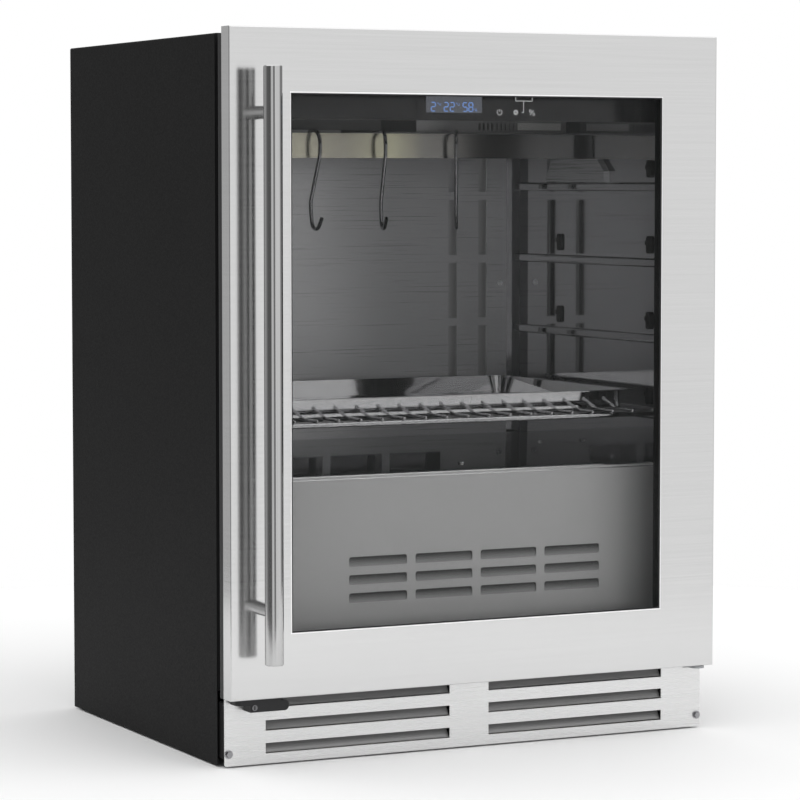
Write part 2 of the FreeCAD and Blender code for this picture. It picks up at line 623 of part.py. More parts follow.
tray_sheet = 1
tray_low = size("rib_top_row") - (RIB_LEVELS - 1) * size("rib_pitch") + size("rib_tall") / 2 + shelf_rest
tray_low += 2 * size("wire_radius") + 0.3
tray_high = tray_low + size("tray_tall")
lip, lean = 7, size("tray_slope")
outside = Part.makeLoft([tray_outline(tray_low, lip + lean, 14), tray_outline(tray_high, lip, 22)],
                        True, True)
rim_plate = Part.Face(tray_outline(tray_high - tray_sheet, 0, 28)).extrude(Vector(0, 0, tray_sheet))
pool = Part.makeLoft([tray_outline(tray_low + tray_sheet, lip + lean + tray_sheet, 13),
                      tray_outline(tray_high + 0.1, lip + tray_sheet, 21)], True, True)
tray = doc.addObject("Part::Feature", "tray_pressing")
tray.Shape = outside.fuse(rim_plate).cut(pool)
node("drip_tray", tray)


# ---- Control fascia, touch panel and the ceiling pod with its lamp ----
fascia_front = box("fascia_front", panel_x, ("front + fascia_face", "front + fascia_face + 2"),
                   ("fascia_low", "chamber_roof - 0.2"))
fascia_under = box("fascia_under", panel_x, ("front + fascia_face", "front + fascia_face + 26"),
                   ("fascia_low", "fascia_low + 2"))
node("control_fascia", fuse("fascia_channel", [fascia_front, fascia_under]))
display_x, display_z = ("-42.3", "26.6"), ("698.3", "716")
touch_y = ("front + fascia_face - 1.6", "front + fascia_face")
touch = box("touch_glass", ("glass_left", "glass_right"), touch_y, ("fascia_low + 0.6", "chamber_roof - 1"))
touch = rounded("touch_glass_eased", touch, "y", 2)
recess = box("display_recess", display_x, ("front + fascia_face - 2", "front + fascia_face - 0.8"), display_z)
node("touch_panel", cut("touch_glass_cut", touch, recess))
display_y = ("front + fascia_face - 1.6", "front + fascia_face - 0.8")
node("display_window", box("display_pane", display_x, display_y, display_z))
board_y = ("front + fascia_face + 7", "front + fascia_face + 8.6")
node("control_board", box("board", ("-62", "112"), board_y, ("695", "729")))

pod_top = "chamber_roof - 0.4"
pod = box("pod_block", ("9", "256"), ("front + pod_face", "front + pod_rear"), ("pod_low", pod_top))
pod = rounded("pod_eased", pod, "z", 4)
baffle = box("pod_baffle", ("-250", "14"), ("front + pod_face", "front + pod_face + 3"),
             ("pod_low + 1.4", pod_top))
pod_hollow = box("pod_hollow", ("11.5", "253.5"), ("front + pod_face + 2.5", "front + pod_rear - 2.5"),
                 ("pod_low + 2.5", "chamber_roof"))
slot_y = ("front + pod_face - 1", "front + pod_face + 4")
pod_slots = [box(f"pod_slot_{n}", (136.5 + 5.6 * n, 139.5 + 5.6 * n), slot_y,
                 ("pod_low + 2.7", "pod_low + 10.7")) for n in range(9)]
lens_hole = box("lens_hole", ("188.5", "247"), slot_y, ("pod_low + 2.7", "pod_low + 11.7"))
pod_shell = cut("pod_shell", pod, [pod_hollow, lens_hole] + pod_slots)
node("ceiling_pod", fuse("pod_with_baffle", [pod_shell, baffle]))
node("lamp_lens", box("lens_block", ("188.8", "246.7"), ("front + pod_face - 0.8", "front + pod_face + 2"),
                      ("pod_low + 3", "pod_low + 11.4")))
sensor = box("sensor_block", ("140", "164"), ("front + pod_face + 8", "front + pod_face + 15"),
             ("pod_low + 2.5", "pod_low + 14.5"))
node("climate_sensor", rounded("sensor_eased", sensor, "z", 2))


# ---- Cooling: circulation fan and evaporator in the step, machine parts behind ----
front = size("front")
circulation_centre = Vector(-7, front + 79, 186)
frame, rotor = fan("circulation_fan", circulation_centre, 110, 25, 7)
node("circulation_fan_frame", frame)
node("circulation_fan_rotor", rotor)
node("evaporator_coil", finned_coil("evaporator", Vector(-205, front + 104, 131),
                                    Vector(205, front + 172, 258), 34, 3, 5, 4))

condenser_centre = Vector(-160, front + 300, 104)
frame, rotor = fan("condenser_fan", condenser_centre, 150, 30, 6)
node("condenser_fan_frame", frame)
node("condenser_fan_rotor", rotor)
node("condenser_coil", finned_coil("condenser", Vector(-268, front + 236, 16),
                                   Vector(-58, front + 278, 206), 26, 2, 7, 4))

compressor_centre = Vector(120, front + 350, 0)
base_plate = doc.addObject("Part::Box", "compressor_plate")
base_plate.Length, base_plate.Width, base_plate.Height = 190, 120, 3
base_plate.Placement.Base = compressor_centre + Vector(-95, -60, 31)
can_profile = [(0, 34), (62, 34), (78, 44), (80, 60), (80, 78), (82, 80), (82, 86), (80, 88), (80, 140),
               (74, 162), (58, 178), (34, 187), (0, 190)]
can = turned("compressor_can", can_profile, compressor_centre)
terminal = doc.addObject("Part::Box", "compressor_terminal")
terminal.Length, terminal.Width, terminal.Height = 40, 26, 52
terminal.Placement.Base = compressor_centre + Vector(-20, 64, 80)
node("compressor", fuse("compressor_whole", [base_plate, can, terminal]))
mounts = [turned(f"mount_{x}_{y}", [(0, 11.5), (13, 11.5), (13, 18), (9, 22), (13, 26), (13, 31), (0, 31)],
                 compressor_centre + Vector(x, y, 0)) for x in (-80, 80) for y in (-46, 46)]
node("compressor_mounts", group("mount_set", mounts))

pan_low = 196
pan_outer = box("pan_outer", (36, 204), (front + 280, front + 420), (pan_low, pan_low + 28))
pan_block = rounded("pan_eased", pan_outer, "z", 12)
pan_pool = rounded("pan_pool_eased", box("pan_inner", (38, 202), (front + 282, front + 418),
                                         (pan_low + 2, pan_low + 29)), "z", 10)
node("condensate_pan", cut("pan_moulding", pan_block, pan_pool))

pipe_radius = 4
suction = bent_tube("suction_pipe", [Vector(120, front + 270, 120), Vector(120, front + 250, 120),
                                     Vector(120, front + 250, 190), Vector(228, front + 250, 190),
                                     Vector(228, front + 250, size("machine_roof") - 0.1)],
                    pipe_radius, [11, 18, 18])
discharge = bent_tube("discharge_pipe", [Vector(40, front + 350, 120), Vector(10, front + 350, 120),
                                         Vector(10, front + 350, 188), Vector(10, front + 257, 188),
                                         Vector(-58, front + 257, 188)], pipe_radius, [14, 18, 18])
liquid = bent_tube("liquid_pipe", [Vector(-58, front + 257, 30), Vector(-20, front + 257, 30),
                                   Vector(-20, front + 300, 30), Vector(-20, front + 300, 48)],
                   pipe_radius, [14, 14])
capillary = rod("capillary_pipe", 1.6, (-20, front + 300, 164), size("machine_roof") - 164.1, "z")
node("refrigerant_pipes", group("pipe_set", [suction, discharge, liquid, capillary]))
drier_profile = [(0, 0), (4, 0), (4, 14), (11, 24), (11, 92), (4, 102), (4, 116), (0, 116)]
node("filter_drier", turned("drier", drier_profile, Vector(-20, front + 300, 48)))

power_box = box("power_outer", (-60, 24), (front + 404, "rear - 4 - 0.5"), (24, 116))
power_hollow = box("power_inner", (-58, 22), (front + 406, "rear - 3"), (26, 114))
node("power_box", cut("power_shell", rounded("power_eased", power_box, "y", 4), power_hollow))
inlet_body = box("inlet_body", (-29.6, -0.4), ("rear - 26", "rear - 3"), (50.4, 73.6))
inlet_flange = box("inlet_flange", (-35, 5), ("rear - 3", "rear - 1"), (45, 79))
inlet_hollow = box("inlet_hollow", (-27.2, -2.8), ("rear - 19", "rear"), (53.5, 70.5))
prongs = [box(f"inlet_prong_{n}", (x - 2, x + 2), ("rear - 20", "rear - 5"), (z - 1, z + 1))
          for n, (x, z) in enumerate(((-22, 60), (-15, 64), (-8, 60)))]
inlet_flange = rounded("inlet_flange_eased", inlet_flange, "y", 3)
inlet_shell = cut("inlet_shell", fuse("inlet_whole", [inlet_body, inlet_flange]),
                  rounded("inlet_hollow_eased", inlet_hollow, "y", 3))
node("mains_inlet", fuse("inlet_with_prongs", [inlet_shell] + prongs))


# ---- Plinth grille and its two screws ----
plinth = body("plinth_pressing")
plinth_outline = sketch_on(plinth, "plinth_outline", "XZ_Plane", "-(front + plinth_face)")
rectangle(plinth_outline, ("-plinth_half", "plinth_half"), ("plinth_low", "plinth_top"))
pad(plinth, plinth_outline, "plinth_pad", "steel")
plinth_vents = sketch_on(plinth, "plinth_vents", "XZ_Plane", "-(front + plinth_face)")
VENT_ROWS = 3
vent_sides = ((-247.2, -26.2), (22.1, 243.6))
for level in range(VENT_ROWS):
    low = f"vent_low + {level} * vent_pitch"
    for left, right in vent_sides:
        rectangle(plinth_vents, (left, right), (low, f"{low} + vent_tall"))
pocket(plinth, plinth_vents, "plinth_cut", "steel")
corner_x, corner_z = size("plinth_half") - 1, size("plinth_low") + 1
plinth_round = rounded("plinth_rounded", plinth, "y", 2.5,
                       lambda point: point.z < corner_z and abs(point.x) > corner_x)
vanes = []
for level in range(VENT_ROWS):
    for side, (left, right) in enumerate(vent_sides):
        # Each slot's lower edge is bent back and up as a sloping blade.
        low = size("vent_low") + level * size("vent_pitch")
        face_y = front + size("plinth_face") + 0.2
        corners = [Vector(left, face_y + back, low + up)
                   for back, up in ((0, -1), (11, 5), (11, 6.2), (0, 0.2))]
        vane = doc.addObject("Part::Feature", f"plinth_vane_{level}_{side}")
        vane.Shape = Part.Face(Part.makePolygon(corners + corners[:1])).extrude(Vector(right - left, 0, 0))
        vanes.append(vane)
hinge_notch = box("plinth_hinge_notch", ("pin_across - 12", "half + 1"),
                  ("front + plinth_face - 1", "front + plinth_face + 3"),
                  ("plinth_top - 3.4", "plinth_top + 1"))
plinth_spots = [(-290.3, 15.2), (290.3, 15.2)]
plinth_screws = []
for number, (x, height) in enumerate(plinth_spots):
    washer = rod(f"plinth_washer_{number}", 4.6, (x, "front + plinth_face - 1", height), 1, "y")
    hexagon = doc.addObject("Part::Prism", f"plinth_hex_{number}")
    hexagon.Polygon, hexagon.Circumradius, hexagon.Height = 6, 3.4, 2.6
    hexagon.Placement = Placement(Vector(x, front + size("plinth_face") - 3.4, height), TURNS["y"])
    shank = rod(f"plinth_shank_{number}", 2, (x, "front + plinth_face - 1", height), 4, "y")
    plinth_screws.append(fuse(f"plinth_screw_{number}", [washer, hexagon, shank]))
plinth_screw_set = node("plinth_screws", group("plinth_screw_pair", plinth_screws))
node("plinth_grille", cut("plinth_notched", fuse("plinth_bladed", [plinth_round] + vanes),
                          [hinge_notch, plinth_screw_set]))


# ---- Levelling feet ----
foot_profile = [(0, 0), (16, 0), (18, 2), (18, 5), (10, 7), (10, 9.4), (stud_radius, 9.4), (stud_radius, 44),
                (stud_radius - 1, 45), (0, 45)]
for spot in foot_spots:
    end, side = spot.split("_")
    x = (size("half") - size("foot_in")) * (-1 if side == "left" else 1)
    spot_centre = Vector(x, front + size(f"foot_{end}"), 0)
    node(f"levelling_foot_{spot}", turned(f"foot_{spot}", foot_profile, spot_centre))


# ---- Door: steel frame, inner frame, double glazing, seal, handle ----
steel_frame = body("steel_frame")
frame_outline = sketch_on(steel_frame, "frame_outline", "XZ_Plane", "-front")
rectangle(frame_outline, ("-half", "half"), ("door_low", "door_top"))
pad(steel_frame, frame_outline, "frame_pad", "return_deep")
frame_hollow = sketch_on(steel_frame, "frame_hollow", "XZ_Plane", "-(front + return_deep)")
rectangle(frame_hollow, ("-half + steel", "half - steel"), ("door_low + steel", "door_top - steel"))
pocket(steel_frame, frame_hollow, "frame_hollow_cut", "return_deep - steel", True)
frame_window = sketch_on(steel_frame, "frame_window", "XZ_Plane", "-front")
window_x = ("-half + stile", "half - stile")
window_z = ("door_low + crosspiece", "door_top - crosspiece")
rectangle(frame_window, window_x, window_z)
pocket(steel_frame, frame_window, "frame_window_cut", "steel")


def on_face(edge):
    """An edge in the plane of the door's front face, other than the window's."""
    box_of = edge.BoundBox
    middle = edge.CenterOfMass
    outer = abs(middle.x) > size("half") - 1 or not size("door_low") + 1 <= middle.z <= size("door_top") - 1
    return outer and box_of.YMax < front + 1e-4


bends = doc.addObject("Part::Fillet", "frame_bends")
bends.Base = steel_frame
bends.Edges = [(n, 1.1, 1.1) for n, edge in enumerate(steel_frame.Shape.Edges, start=1) if on_face(edge)]
hinge_relief = box("hinge_relief", ("half - 3", "half + 1"), ("front + 2.4", "front + return_deep + 1"),
                   ("case_top - 1", "door_top - steel"))
lower_relief = fuse("lower_relief", [
    rod("relief_round", 7, ("pin_across", "front + pin_back", "door_low - 1"), 3, "z"),
    box("relief_mouth", ("pin_across - 7", "pin_across + 7"), ("front + pin_back", "front + return_deep + 1"),
        ("door_low - 1", "door_low + 2"))])
BOLT_X, BOLT_BACK, BOLT_RADIUS = -258, 13, 2.5
bolt_hole = rod("bolt_hole", BOLT_RADIUS + 1.5, (BOLT_X, f"front + {BOLT_BACK}", "door_low - 1"), 16, "z")
node("door_outer_frame", cut("steel_frame_relieved", bends, [hinge_relief, lower_relief, bolt_hole]))

frame_high = "case_top - 1.2"
stage_front = box("inner_front", ("-half + steel", "half - steel"), ("front + steel", "front + return_deep"),
                  ("door_low + steel", frame_high))
stage_rear = box("inner_rear", ("-half", "half"), ("front + return_deep", "front + door_deep"),
                 ("door_low", frame_high))
stage_rear = rounded("inner_rear_eased", stage_rear, "z", 6,
                     lambda point: point.y > front + size("return_deep") + 1)
glass_x = ("-half + stile - pane_lap", "half - stile + pane_lap")
glass_z = ("door_low + crosspiece - pane_lap", "door_top - crosspiece + pane_lap")
glass_opening = box("glass_opening", glass_x, ("front", "front + door_deep + 1"), glass_z)
BUSH_RADIUS = 4.6
bush_holes = [rod(f"bush_hole_{end}", BUSH_RADIUS, ("pin_across", "front + pin_back", low), 21, "z")
              for end, low in (("low", "door_low - 1"), ("high", f"{frame_high} - 20"))]
node("door_inner_frame", cut("inner_frame", fuse("inner_frame_stages", [stage_front, stage_rear]),
                             [glass_opening, bolt_hole] + bush_holes))

node("glass_outer", plate("outer_pane", glass_x, glass_z, "front + steel", "pane"))
spacer_x = ("-half + stile - pane_lap + 0.5", "half - stile + pane_lap - 0.5")
spacer_z = ("door_low + crosspiece - pane_lap + 0.5", "door_top - crosspiece + pane_lap - 0.5")
node("glazing_spacer", ring("spacer_ring", spacer_x, spacer_z,
                            ("-half + stile - 0.4", "half - stile + 0.4"),
                            ("door_low + crosspiece - 0.4", "door_top - crosspiece + 0.4"),
                            "front + steel + pane", "pane_gap"))
node("glass_inner", plate("inner_pane", glass_x, glass_z, "front + steel + pane + pane_gap", "pane"))
node("door_gasket", ring("gasket_ring", ("-half + 17", "half - 17"), ("door_low + 16", "case_top - 14"),
                         ("-half + 32", "half - 32"), ("door_low + 31", "case_top - 29"),
                         "front + door_deep", "case_front - door_deep - 0.5"))

bar = rod("grip_bar", "grip_radius", ("grip_across", "front - bar_out", "grip_low"),
          "grip_high - grip_low", "z")
node("handle_bar", eased("grip_bar_eased", bar, 0.8, lambda edge: True))
posts = [rod(f"grip_post_{n}", "post_radius", ("grip_across", "front - bar_out", height), "bar_out", "y")
         for n, height in enumerate(("post_low", "post_high"))]
node("handle_posts", group("post_pair", [cut(f"post_seated_{n}", post, bar) for n, post in enumerate(posts)]))


# ---- Hinges: brackets and pins on the case, bushes in the door ----
arm_x = ("pin_across - 8", "pin_across + 8")
upper_plate = box("upper_plate", ("pin_across - 8", "pin_across + 5.5"),
                  ("front + pin_back", "front + case_front + 52"), ("case_top", "case_top + 3"))
upper_nose = rod("upper_nose", 8, ("pin_across", "front + pin_back", "case_top"), 3, "z")
lower_plate = box("lower_plate", arm_x, ("front + pin_back", "front + case_front + 30"),
                  ("plinth_top - 2.6", "plinth_top"))
lower_nose = rod("lower_nose", 8, ("pin_across", "front + pin_back", "plinth_top - 2.6"), 2.6, "z")
lower_wall = box("lower_wall", ("plinth_half - base_sheet - 2.5", "plinth_half - base_sheet"),
                 ("front + case_front + 2", "front + case_front + 60"), ("30", "plinth_top"))
lower_pin = rod("lower_pin", "pin_radius", ("pin_across", "front + pin_back", "plinth_top - 2.6"), 20, "z")
upper_pin = rod("upper_pin", "pin_radius", ("pin_across", "front + pin_back", "case_top + 3 - 20"), 20, "z")
node("hinge_bracket_upper", cut("upper_arm", fuse("upper_arm_solid", [upper_plate, upper_nose]), upper_pin))
lower_arm = fuse("lower_arm_solid", [lower_plate, lower_nose, lower_wall])
node("hinge_bracket_lower", cut("lower_arm", lower_arm, lower_pin))
node("hinge_pins", group("pin_pair", [lower_pin, upper_pin]))

bush_bore = "pin_radius + pin_fit"
flange_gap = "plinth_top + 0.5"
lower_bush = fuse("lower_bush_solid", [
    rod("lower_bush_body", BUSH_RADIUS, ("pin_across", "front + pin_back", "door_low"), 20, "z"),
    rod("lower_bush_flange", 6.2, ("pin_across", "front + pin_back", flange_gap),
        f"door_low - ({flange_gap})", "z")])
upper_bush = fuse("upper_bush_solid", [
    rod("upper_bush_body", BUSH_RADIUS, ("pin_across", "front + pin_back", f"{frame_high} - 20"), 20, "z"),
    rod("upper_bush_flange", 6.2, ("pin_across", "front + pin_back", frame_high), 0.8, "z")])
lower_bore = rod("lower_bore", bush_bore, ("pin_across", "front + pin_back", "plinth_top"), 19, "z")
upper_bore = rod("upper_bore", bush_bore, ("pin_across", "front + pin_back", "case_top - 18"), 19, "z")
node("hinge_bushes", group("bush_pair", [cut("lower_bush", lower_bush, lower_bore),
                                         cut("upper_bush", upper_bush, upper_bore)]))


# ---- Lock below the door's lower left corner: housing, key cylinder, rising bolt ----
lock_y = ("front + 6", "front + plinth_face")
lock_body = box("lock_body", ("lock_left + 15.3", "lock_right"), lock_y, ("61.2", "72.5"))
lock_body = rounded("lock_body_eased", lock_body, "y", 5, lambda point: point.x > size("lock_right") - 1)
lock_deck = box("lock_deck", ("lock_left", "lock_right - 6"), lock_y, ("69", "plinth_top + 0.4"))
lock_deck = rounded("lock_deck_eased", lock_deck, "z", 6, lambda point: point.y < front + 10)
cylinder_x, cylinder_z, cylinder_radius = -268, 66.2, 3.2
barrel_bore = rod("barrel_bore", cylinder_radius + 0.06, (cylinder_x, "front + 5", cylinder_z), 14, "y")
bolt_bore = rod("bolt_bore", BOLT_RADIUS + 0.06, (BOLT_X, f"front + {BOLT_BACK}", "62.2"), 16, "z")
node("lock_housing", cut("lock_shell", fuse("lock_solid", [lock_body, lock_deck]), [barrel_bore, bolt_bore]))
barrel = rod("barrel_solid", cylinder_radius, (cylinder_x, "front + 5", cylinder_z), 13.7, "y")
keyway = box("keyway", (cylinder_x - 0.6, cylinder_x + 0.6), ("front + 4", "front + 12"),
             (cylinder_z - 2, cylinder_z + 2))
node("lock_cylinder", cut("barrel_keyed", barrel, keyway))
bolt = rod("bolt_rod", BOLT_RADIUS, (BOLT_X, f"front + {BOLT_BACK}", "62.5"), "plinth_top - 62.5 + 0.3", "z")
node("lock_bolt", eased("bolt_rod_eased", bolt, 0.6, lambda edge: edge.CenterOfMass.z > 70))


# ---- Checks and export ----
doc.recompute()
for item in doc.Objects:
    if {"Invalid", "Error"} & set(item.State):
        raise RuntimeError(f"{item.Label} failed: {item.State}")
os.makedirs("parts", exist_ok=True)
for item in nodes:
    if item.Shape.isNull() or not item.Shape.isValid():
        raise RuntimeError(f"{item.Label} has no valid shape")
    item.Shape.exportStep(os.path.join("parts", item.Label + ".step"))
low = [min(getattr(item.Shape.BoundBox, edge) for item in nodes) for edge in ("XMin", "YMin", "ZMin")]
high = [max(getattr(item.Shape.BoundBox, edge) for item in nodes) for edge in ("XMax", "YMax", "ZMax")]
print(f"{len(nodes)} sub-parts, box {[round(v, 2) for v in low]} to {[round(v, 2) for v in high]}")
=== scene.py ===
"""Looks of the under-counter dry-ageing refrigerator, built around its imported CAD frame."""

import math

import bpy
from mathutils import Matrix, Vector


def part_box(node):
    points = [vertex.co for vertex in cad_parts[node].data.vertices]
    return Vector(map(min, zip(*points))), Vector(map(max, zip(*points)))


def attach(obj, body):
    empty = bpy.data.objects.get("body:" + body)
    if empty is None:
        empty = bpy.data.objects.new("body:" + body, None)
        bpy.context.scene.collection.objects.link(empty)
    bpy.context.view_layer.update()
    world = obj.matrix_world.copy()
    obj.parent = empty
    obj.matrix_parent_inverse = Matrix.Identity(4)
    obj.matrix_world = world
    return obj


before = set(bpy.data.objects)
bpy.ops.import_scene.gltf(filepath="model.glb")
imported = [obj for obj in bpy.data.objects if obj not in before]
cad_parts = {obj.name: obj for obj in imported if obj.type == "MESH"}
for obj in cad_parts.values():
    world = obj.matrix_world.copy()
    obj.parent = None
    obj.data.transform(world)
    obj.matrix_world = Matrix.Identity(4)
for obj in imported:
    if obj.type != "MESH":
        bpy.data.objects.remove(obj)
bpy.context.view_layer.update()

MM = 0.001
scene = bpy.context.scene
BOX = {name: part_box(name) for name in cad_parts}
LOW = {name: corners[0] for name, corners in BOX.items()}
HIGH = {name: corners[1] for name, corners in BOX.items()}


# ---- Camera and world ----
camera_data = bpy.data.cameras.new("camera")
camera_data.sensor_width = 36
camera_data.lens = 144.14
camera = bpy.data.objects.new("camera", camera_data)
camera.location = (-1.6208, -3.2933, 0.6202)
camera.rotation_euler = (math.radians(90 - 3.853), 0, math.radians(-26.289))
scene.collection.objects.link(camera)
scene.camera = camera

scene.view_settings.view_transform = "Standard"
scene.cycles.transparent_max_bounces = 24
scene.cycles.max_bounces = 14
scene.cycles.glossy_bounces = 8
scene.cycles.sample_clamp_indirect = 6


def grey(value):
    """An opaque grey."""
    return (value, value, value, 1)


def fill_ramp(ramp, stops):
    """Sets a colour ramp's stops from pairs of place and colour or grey level."""
    elements = ramp.color_ramp.elements
    while len(elements) > 1:
        elements.remove(elements[-1])
    for number, (place, value) in enumerate(stops):
        stop = elements[0] if number == 0 else elements.new(place)
        stop.position = place
        stop.color = grey(value) if isinstance(value, (int, float)) else value


def studio_world():
    """A soft studio: tall soft boxes in front, dimmer flanks, a bright ceiling and a white backdrop."""
    world = bpy.data.worlds.new("studio")
    world.use_nodes = True
    scene.world = world
    tree = world.node_tree
    tree.nodes.clear()
    new, link = tree.nodes.new, tree.links.new
    direction = new("ShaderNodeTexCoord").outputs["Generated"]
    parts = new("ShaderNodeSeparateXYZ")
    link(direction, parts.inputs[0])
    toward = new("ShaderNodeMath")
    toward.operation = "MULTIPLY"
    toward.inputs[1].default_value = -1
    link(parts.outputs["Y"], toward.inputs[0])
    bearing = new("ShaderNodeMath")
    bearing.operation = "ARCTAN2"
    link(parts.outputs["X"], bearing.inputs[0])
    link(toward.outputs[0], bearing.inputs[1])
    turn = new("ShaderNodeMapRange")
    turn.inputs["From Min"].default_value = -math.pi
    turn.inputs["From Max"].default_value = math.pi
    link(bearing.outputs[0], turn.inputs["Value"])
    around = new("ShaderNodeValToRGB")
    fill_ramp(around, [((angle + 180) / 360, level) for angle, level in STUDIO_AROUND])
    link(turn.outputs[0], around.inputs[0])
    ceiling = new("ShaderNodeValToRGB")
    fill_ramp(ceiling, [(math.sin(math.radians(angle)), level) for angle, level in STUDIO_CEILING])
    link(parts.outputs["Z"], ceiling.inputs[0])
    total = new("ShaderNodeMix")
    total.data_type = "RGBA"
    total.blend_type = "ADD"
    total.inputs["Factor"].default_value = 1
    link(around.outputs[0], total.inputs["A"])
    link(ceiling.outputs[0], total.inputs["B"])
    lit = new("ShaderNodeBackground")
    lit.inputs["Strength"].default_value = 1
    link(total.outputs["Result"], lit.inputs["Color"])
    white = new("ShaderNodeBackground")
    white.inputs["Color"].default_value = grey(1)
    chosen = new("ShaderNodeMixShader")
    link(new("ShaderNodeLightPath").outputs["Is Camera Ray"], chosen.inputs[0])
    link(lit.outputs[0], chosen.inputs[1])
    link(white.outputs[0], chosen.inputs[2])
    link(chosen.outputs[0], new("ShaderNodeOutputWorld").inputs["Surface"])


# Bearing in degrees from straight in front of the door, to its right, and brightness there.
STUDIO_AROUND = [(-180, 0.45), (-150, 0.52), (-125, 0.45), (-95, 0.16), (-52, 0.14), (-45, 0.85), (-24, 0.85),
                 (-19, 0.22), (-5, 0.25), (1, 1.0), (60, 1.0), (72, 0.35), (120, 0.30), (180, 0.45)]
# Elevation in degrees and what is added there.
STUDIO_CEILING = [(0, 0.0), (30, 0.05), (48, 1.0), (90, 1.15)]
studio_world()


# ---- Procedural materials ----
def shader(name):
    """A material with one Principled node, its node tree and that node."""
    made = bpy.data.materials.new(name)
    made.use_nodes = True
    tree = made.node_tree
    tree.nodes.clear()
    surface = tree.nodes.new("ShaderNodeBsdfPrincipled")
    output = tree.nodes.new("ShaderNodeOutputMaterial")
    tree.links.new(surface.outputs[0], output.inputs["Surface"])
    return made, tree, surface


def noise(tree, stretch, detail=3.0, rough=0.5):
    """A noise stretched by a factor per metre along each axis."""
    place = tree.nodes.new("ShaderNodeTexCoord")
    mapping = tree.nodes.new("ShaderNodeMapping")
    mapping.inputs["Scale"].default_value = stretch
    tree.links.new(place.outputs["Object"], mapping.inputs["Vector"])
    texture = tree.nodes.new("ShaderNodeTexNoise")
    texture.inputs["Scale"].default_value = 1
    texture.inputs["Detail"].default_value = detail
    texture.inputs["Roughness"].default_value = rough
    tree.links.new(mapping.outputs[0], texture.inputs["Vector"])
    return texture.outputs["Fac"]


def spread(tree, source, low, high, start=0.35, end=0.65):
    """source stretched from its usual middle range onto low to high."""
    ranged = tree.nodes.new("ShaderNodeMapRange")
    ranged.inputs["From Min"].default_value = start
    ranged.inputs["From Max"].default_value = end
    ranged.inputs["To Min"].default_value = low
    ranged.inputs["To Max"].default_value = high
    tree.links.new(source, ranged.inputs["Value"])
    return ranged.outputs[0]


def ramped(tree, source, stops):
    """source run through a colour ramp."""
    ramp = tree.nodes.new("ShaderNodeValToRGB")
    fill_ramp(ramp, stops)
    tree.links.new(source, ramp.inputs[0])
    return ramp.outputs[0]


def blended(tree, kind, factor, first, second):
    """Two colours mixed by a fixed factor."""
    mixed = tree.nodes.new("ShaderNodeMix")
    mixed.data_type = "RGBA"
    mixed.blend_type = kind
    mixed.inputs["Factor"].default_value = factor
    tree.links.new(first, mixed.inputs["A"])
    tree.links.new(second, mixed.inputs["B"])
    return mixed.outputs["Result"]


def bumped(tree, surface, height, strength, depth):
    """Adds a bump of that depth in metres to the surface."""
    bump = tree.nodes.new("ShaderNodeBump")
    bump.inputs["Strength"].default_value = strength
    bump.inputs["Distance"].default_value = depth
    tree.links.new(height, bump.inputs["Height"])
    tree.links.new(bump.outputs[0], surface.inputs["Normal"])


GRAINS = {"level": (6, 6, 1500), "upright": (1500, 1500, 5), "deep": (1500, 6, 1500), "none": (260, 260, 260)}


def steel(name, tint, rough, grain, contrast=0.05, stretch=0.0, bump=0.08, smudge=0.05, metallic=1.0):
    """Brushed stainless steel with faint blotches; stretch draws its highlights out across the grain."""
    made, tree, surface = shader(name)
    surface.inputs["Metallic"].default_value = metallic
    lines = noise(tree, GRAINS[grain], 4.0, 0.62)
    coarse = noise(tree, tuple(value * (0.16 if value > 100 else 0.7) for value in GRAINS[grain]), 2.0)
    cloud = noise(tree, (3.5, 3.5, 3.5), 2.0)
    fine = ramped(tree, lines, [(0.3, tuple(c * (1 - contrast) for c in tint) + (1,)),
                                (0.7, tuple(min(1, c * (1 + contrast)) for c in tint) + (1,))])
    broad = ramped(tree, coarse, [(0.3, 1 - contrast * 0.7), (0.7, 1.0)])
    soft = ramped(tree, cloud, [(0.3, 1 - smudge), (0.7, 1.0)])
    colour = blended(tree, "MULTIPLY", 1, blended(tree, "MULTIPLY", 1, fine, broad), soft)
    tree.links.new(colour, surface.inputs["Base Color"])
    tree.links.new(spread(tree, lines, rough * 0.82, rough * 1.2), surface.inputs["Roughness"])
    bumped(tree, surface, lines, bump, 0.00012)
    if stretch:
        surface.inputs["Anisotropic"].default_value = stretch
        surface.inputs["Anisotropic Rotation"].default_value = 0.25 if grain == "level" else 0.0
        tangent = tree.nodes.new("ShaderNodeTangent")
        tangent.direction_type = "RADIAL"
        tangent.axis = "Z"
        tree.links.new(tangent.outputs[0], surface.inputs["Tangent"])
    return made


def plastic(name, tint, rough, pitch=900, depth=0.00006, specular=0.3, variation=0.12, coat=0.0):
    """Moulded or painted surface: a fine texture, a faint blotch in colour and in sheen."""
    made, tree, surface = shader(name)
    texture = noise(tree, (pitch, pitch, pitch), 2.0, 0.6)
    cloud = noise(tree, (9, 9, 9), 3.0)
    colour = ramped(tree, cloud, [(0.3, tuple(c * (1 - variation) for c in tint) + (1,)),
                                  (0.7, tuple(min(1, c * (1 + variation)) for c in tint) + (1,))])
    tree.links.new(colour, surface.inputs["Base Color"])
    tree.links.new(spread(tree, texture, rough * 0.9, min(1, rough * 1.12)), surface.inputs["Roughness"])
    surface.inputs["Specular IOR Level"].default_value = specular
    surface.inputs["Coat Weight"].default_value = coat
    surface.inputs["Coat Roughness"].default_value = 0.05
    bumped(tree, surface, texture, 0.35, depth)
    return made


def tinted_glass():
    """A grey-tinted pane that shows what is behind it, with faint wipe marks in its gloss."""
    made, tree, surface = shader("tinted_glass")
    surface.inputs["Base Color"].default_value = (0.006, 0.007, 0.007, 1)
    surface.inputs["Alpha"].default_value = 0.115
    surface.inputs["IOR"].default_value = 1.5
    tree.links.new(spread(tree, noise(tree, (14, 14, 14), 4.0), 0.015, 0.05), surface.inputs["Roughness"])
    return made


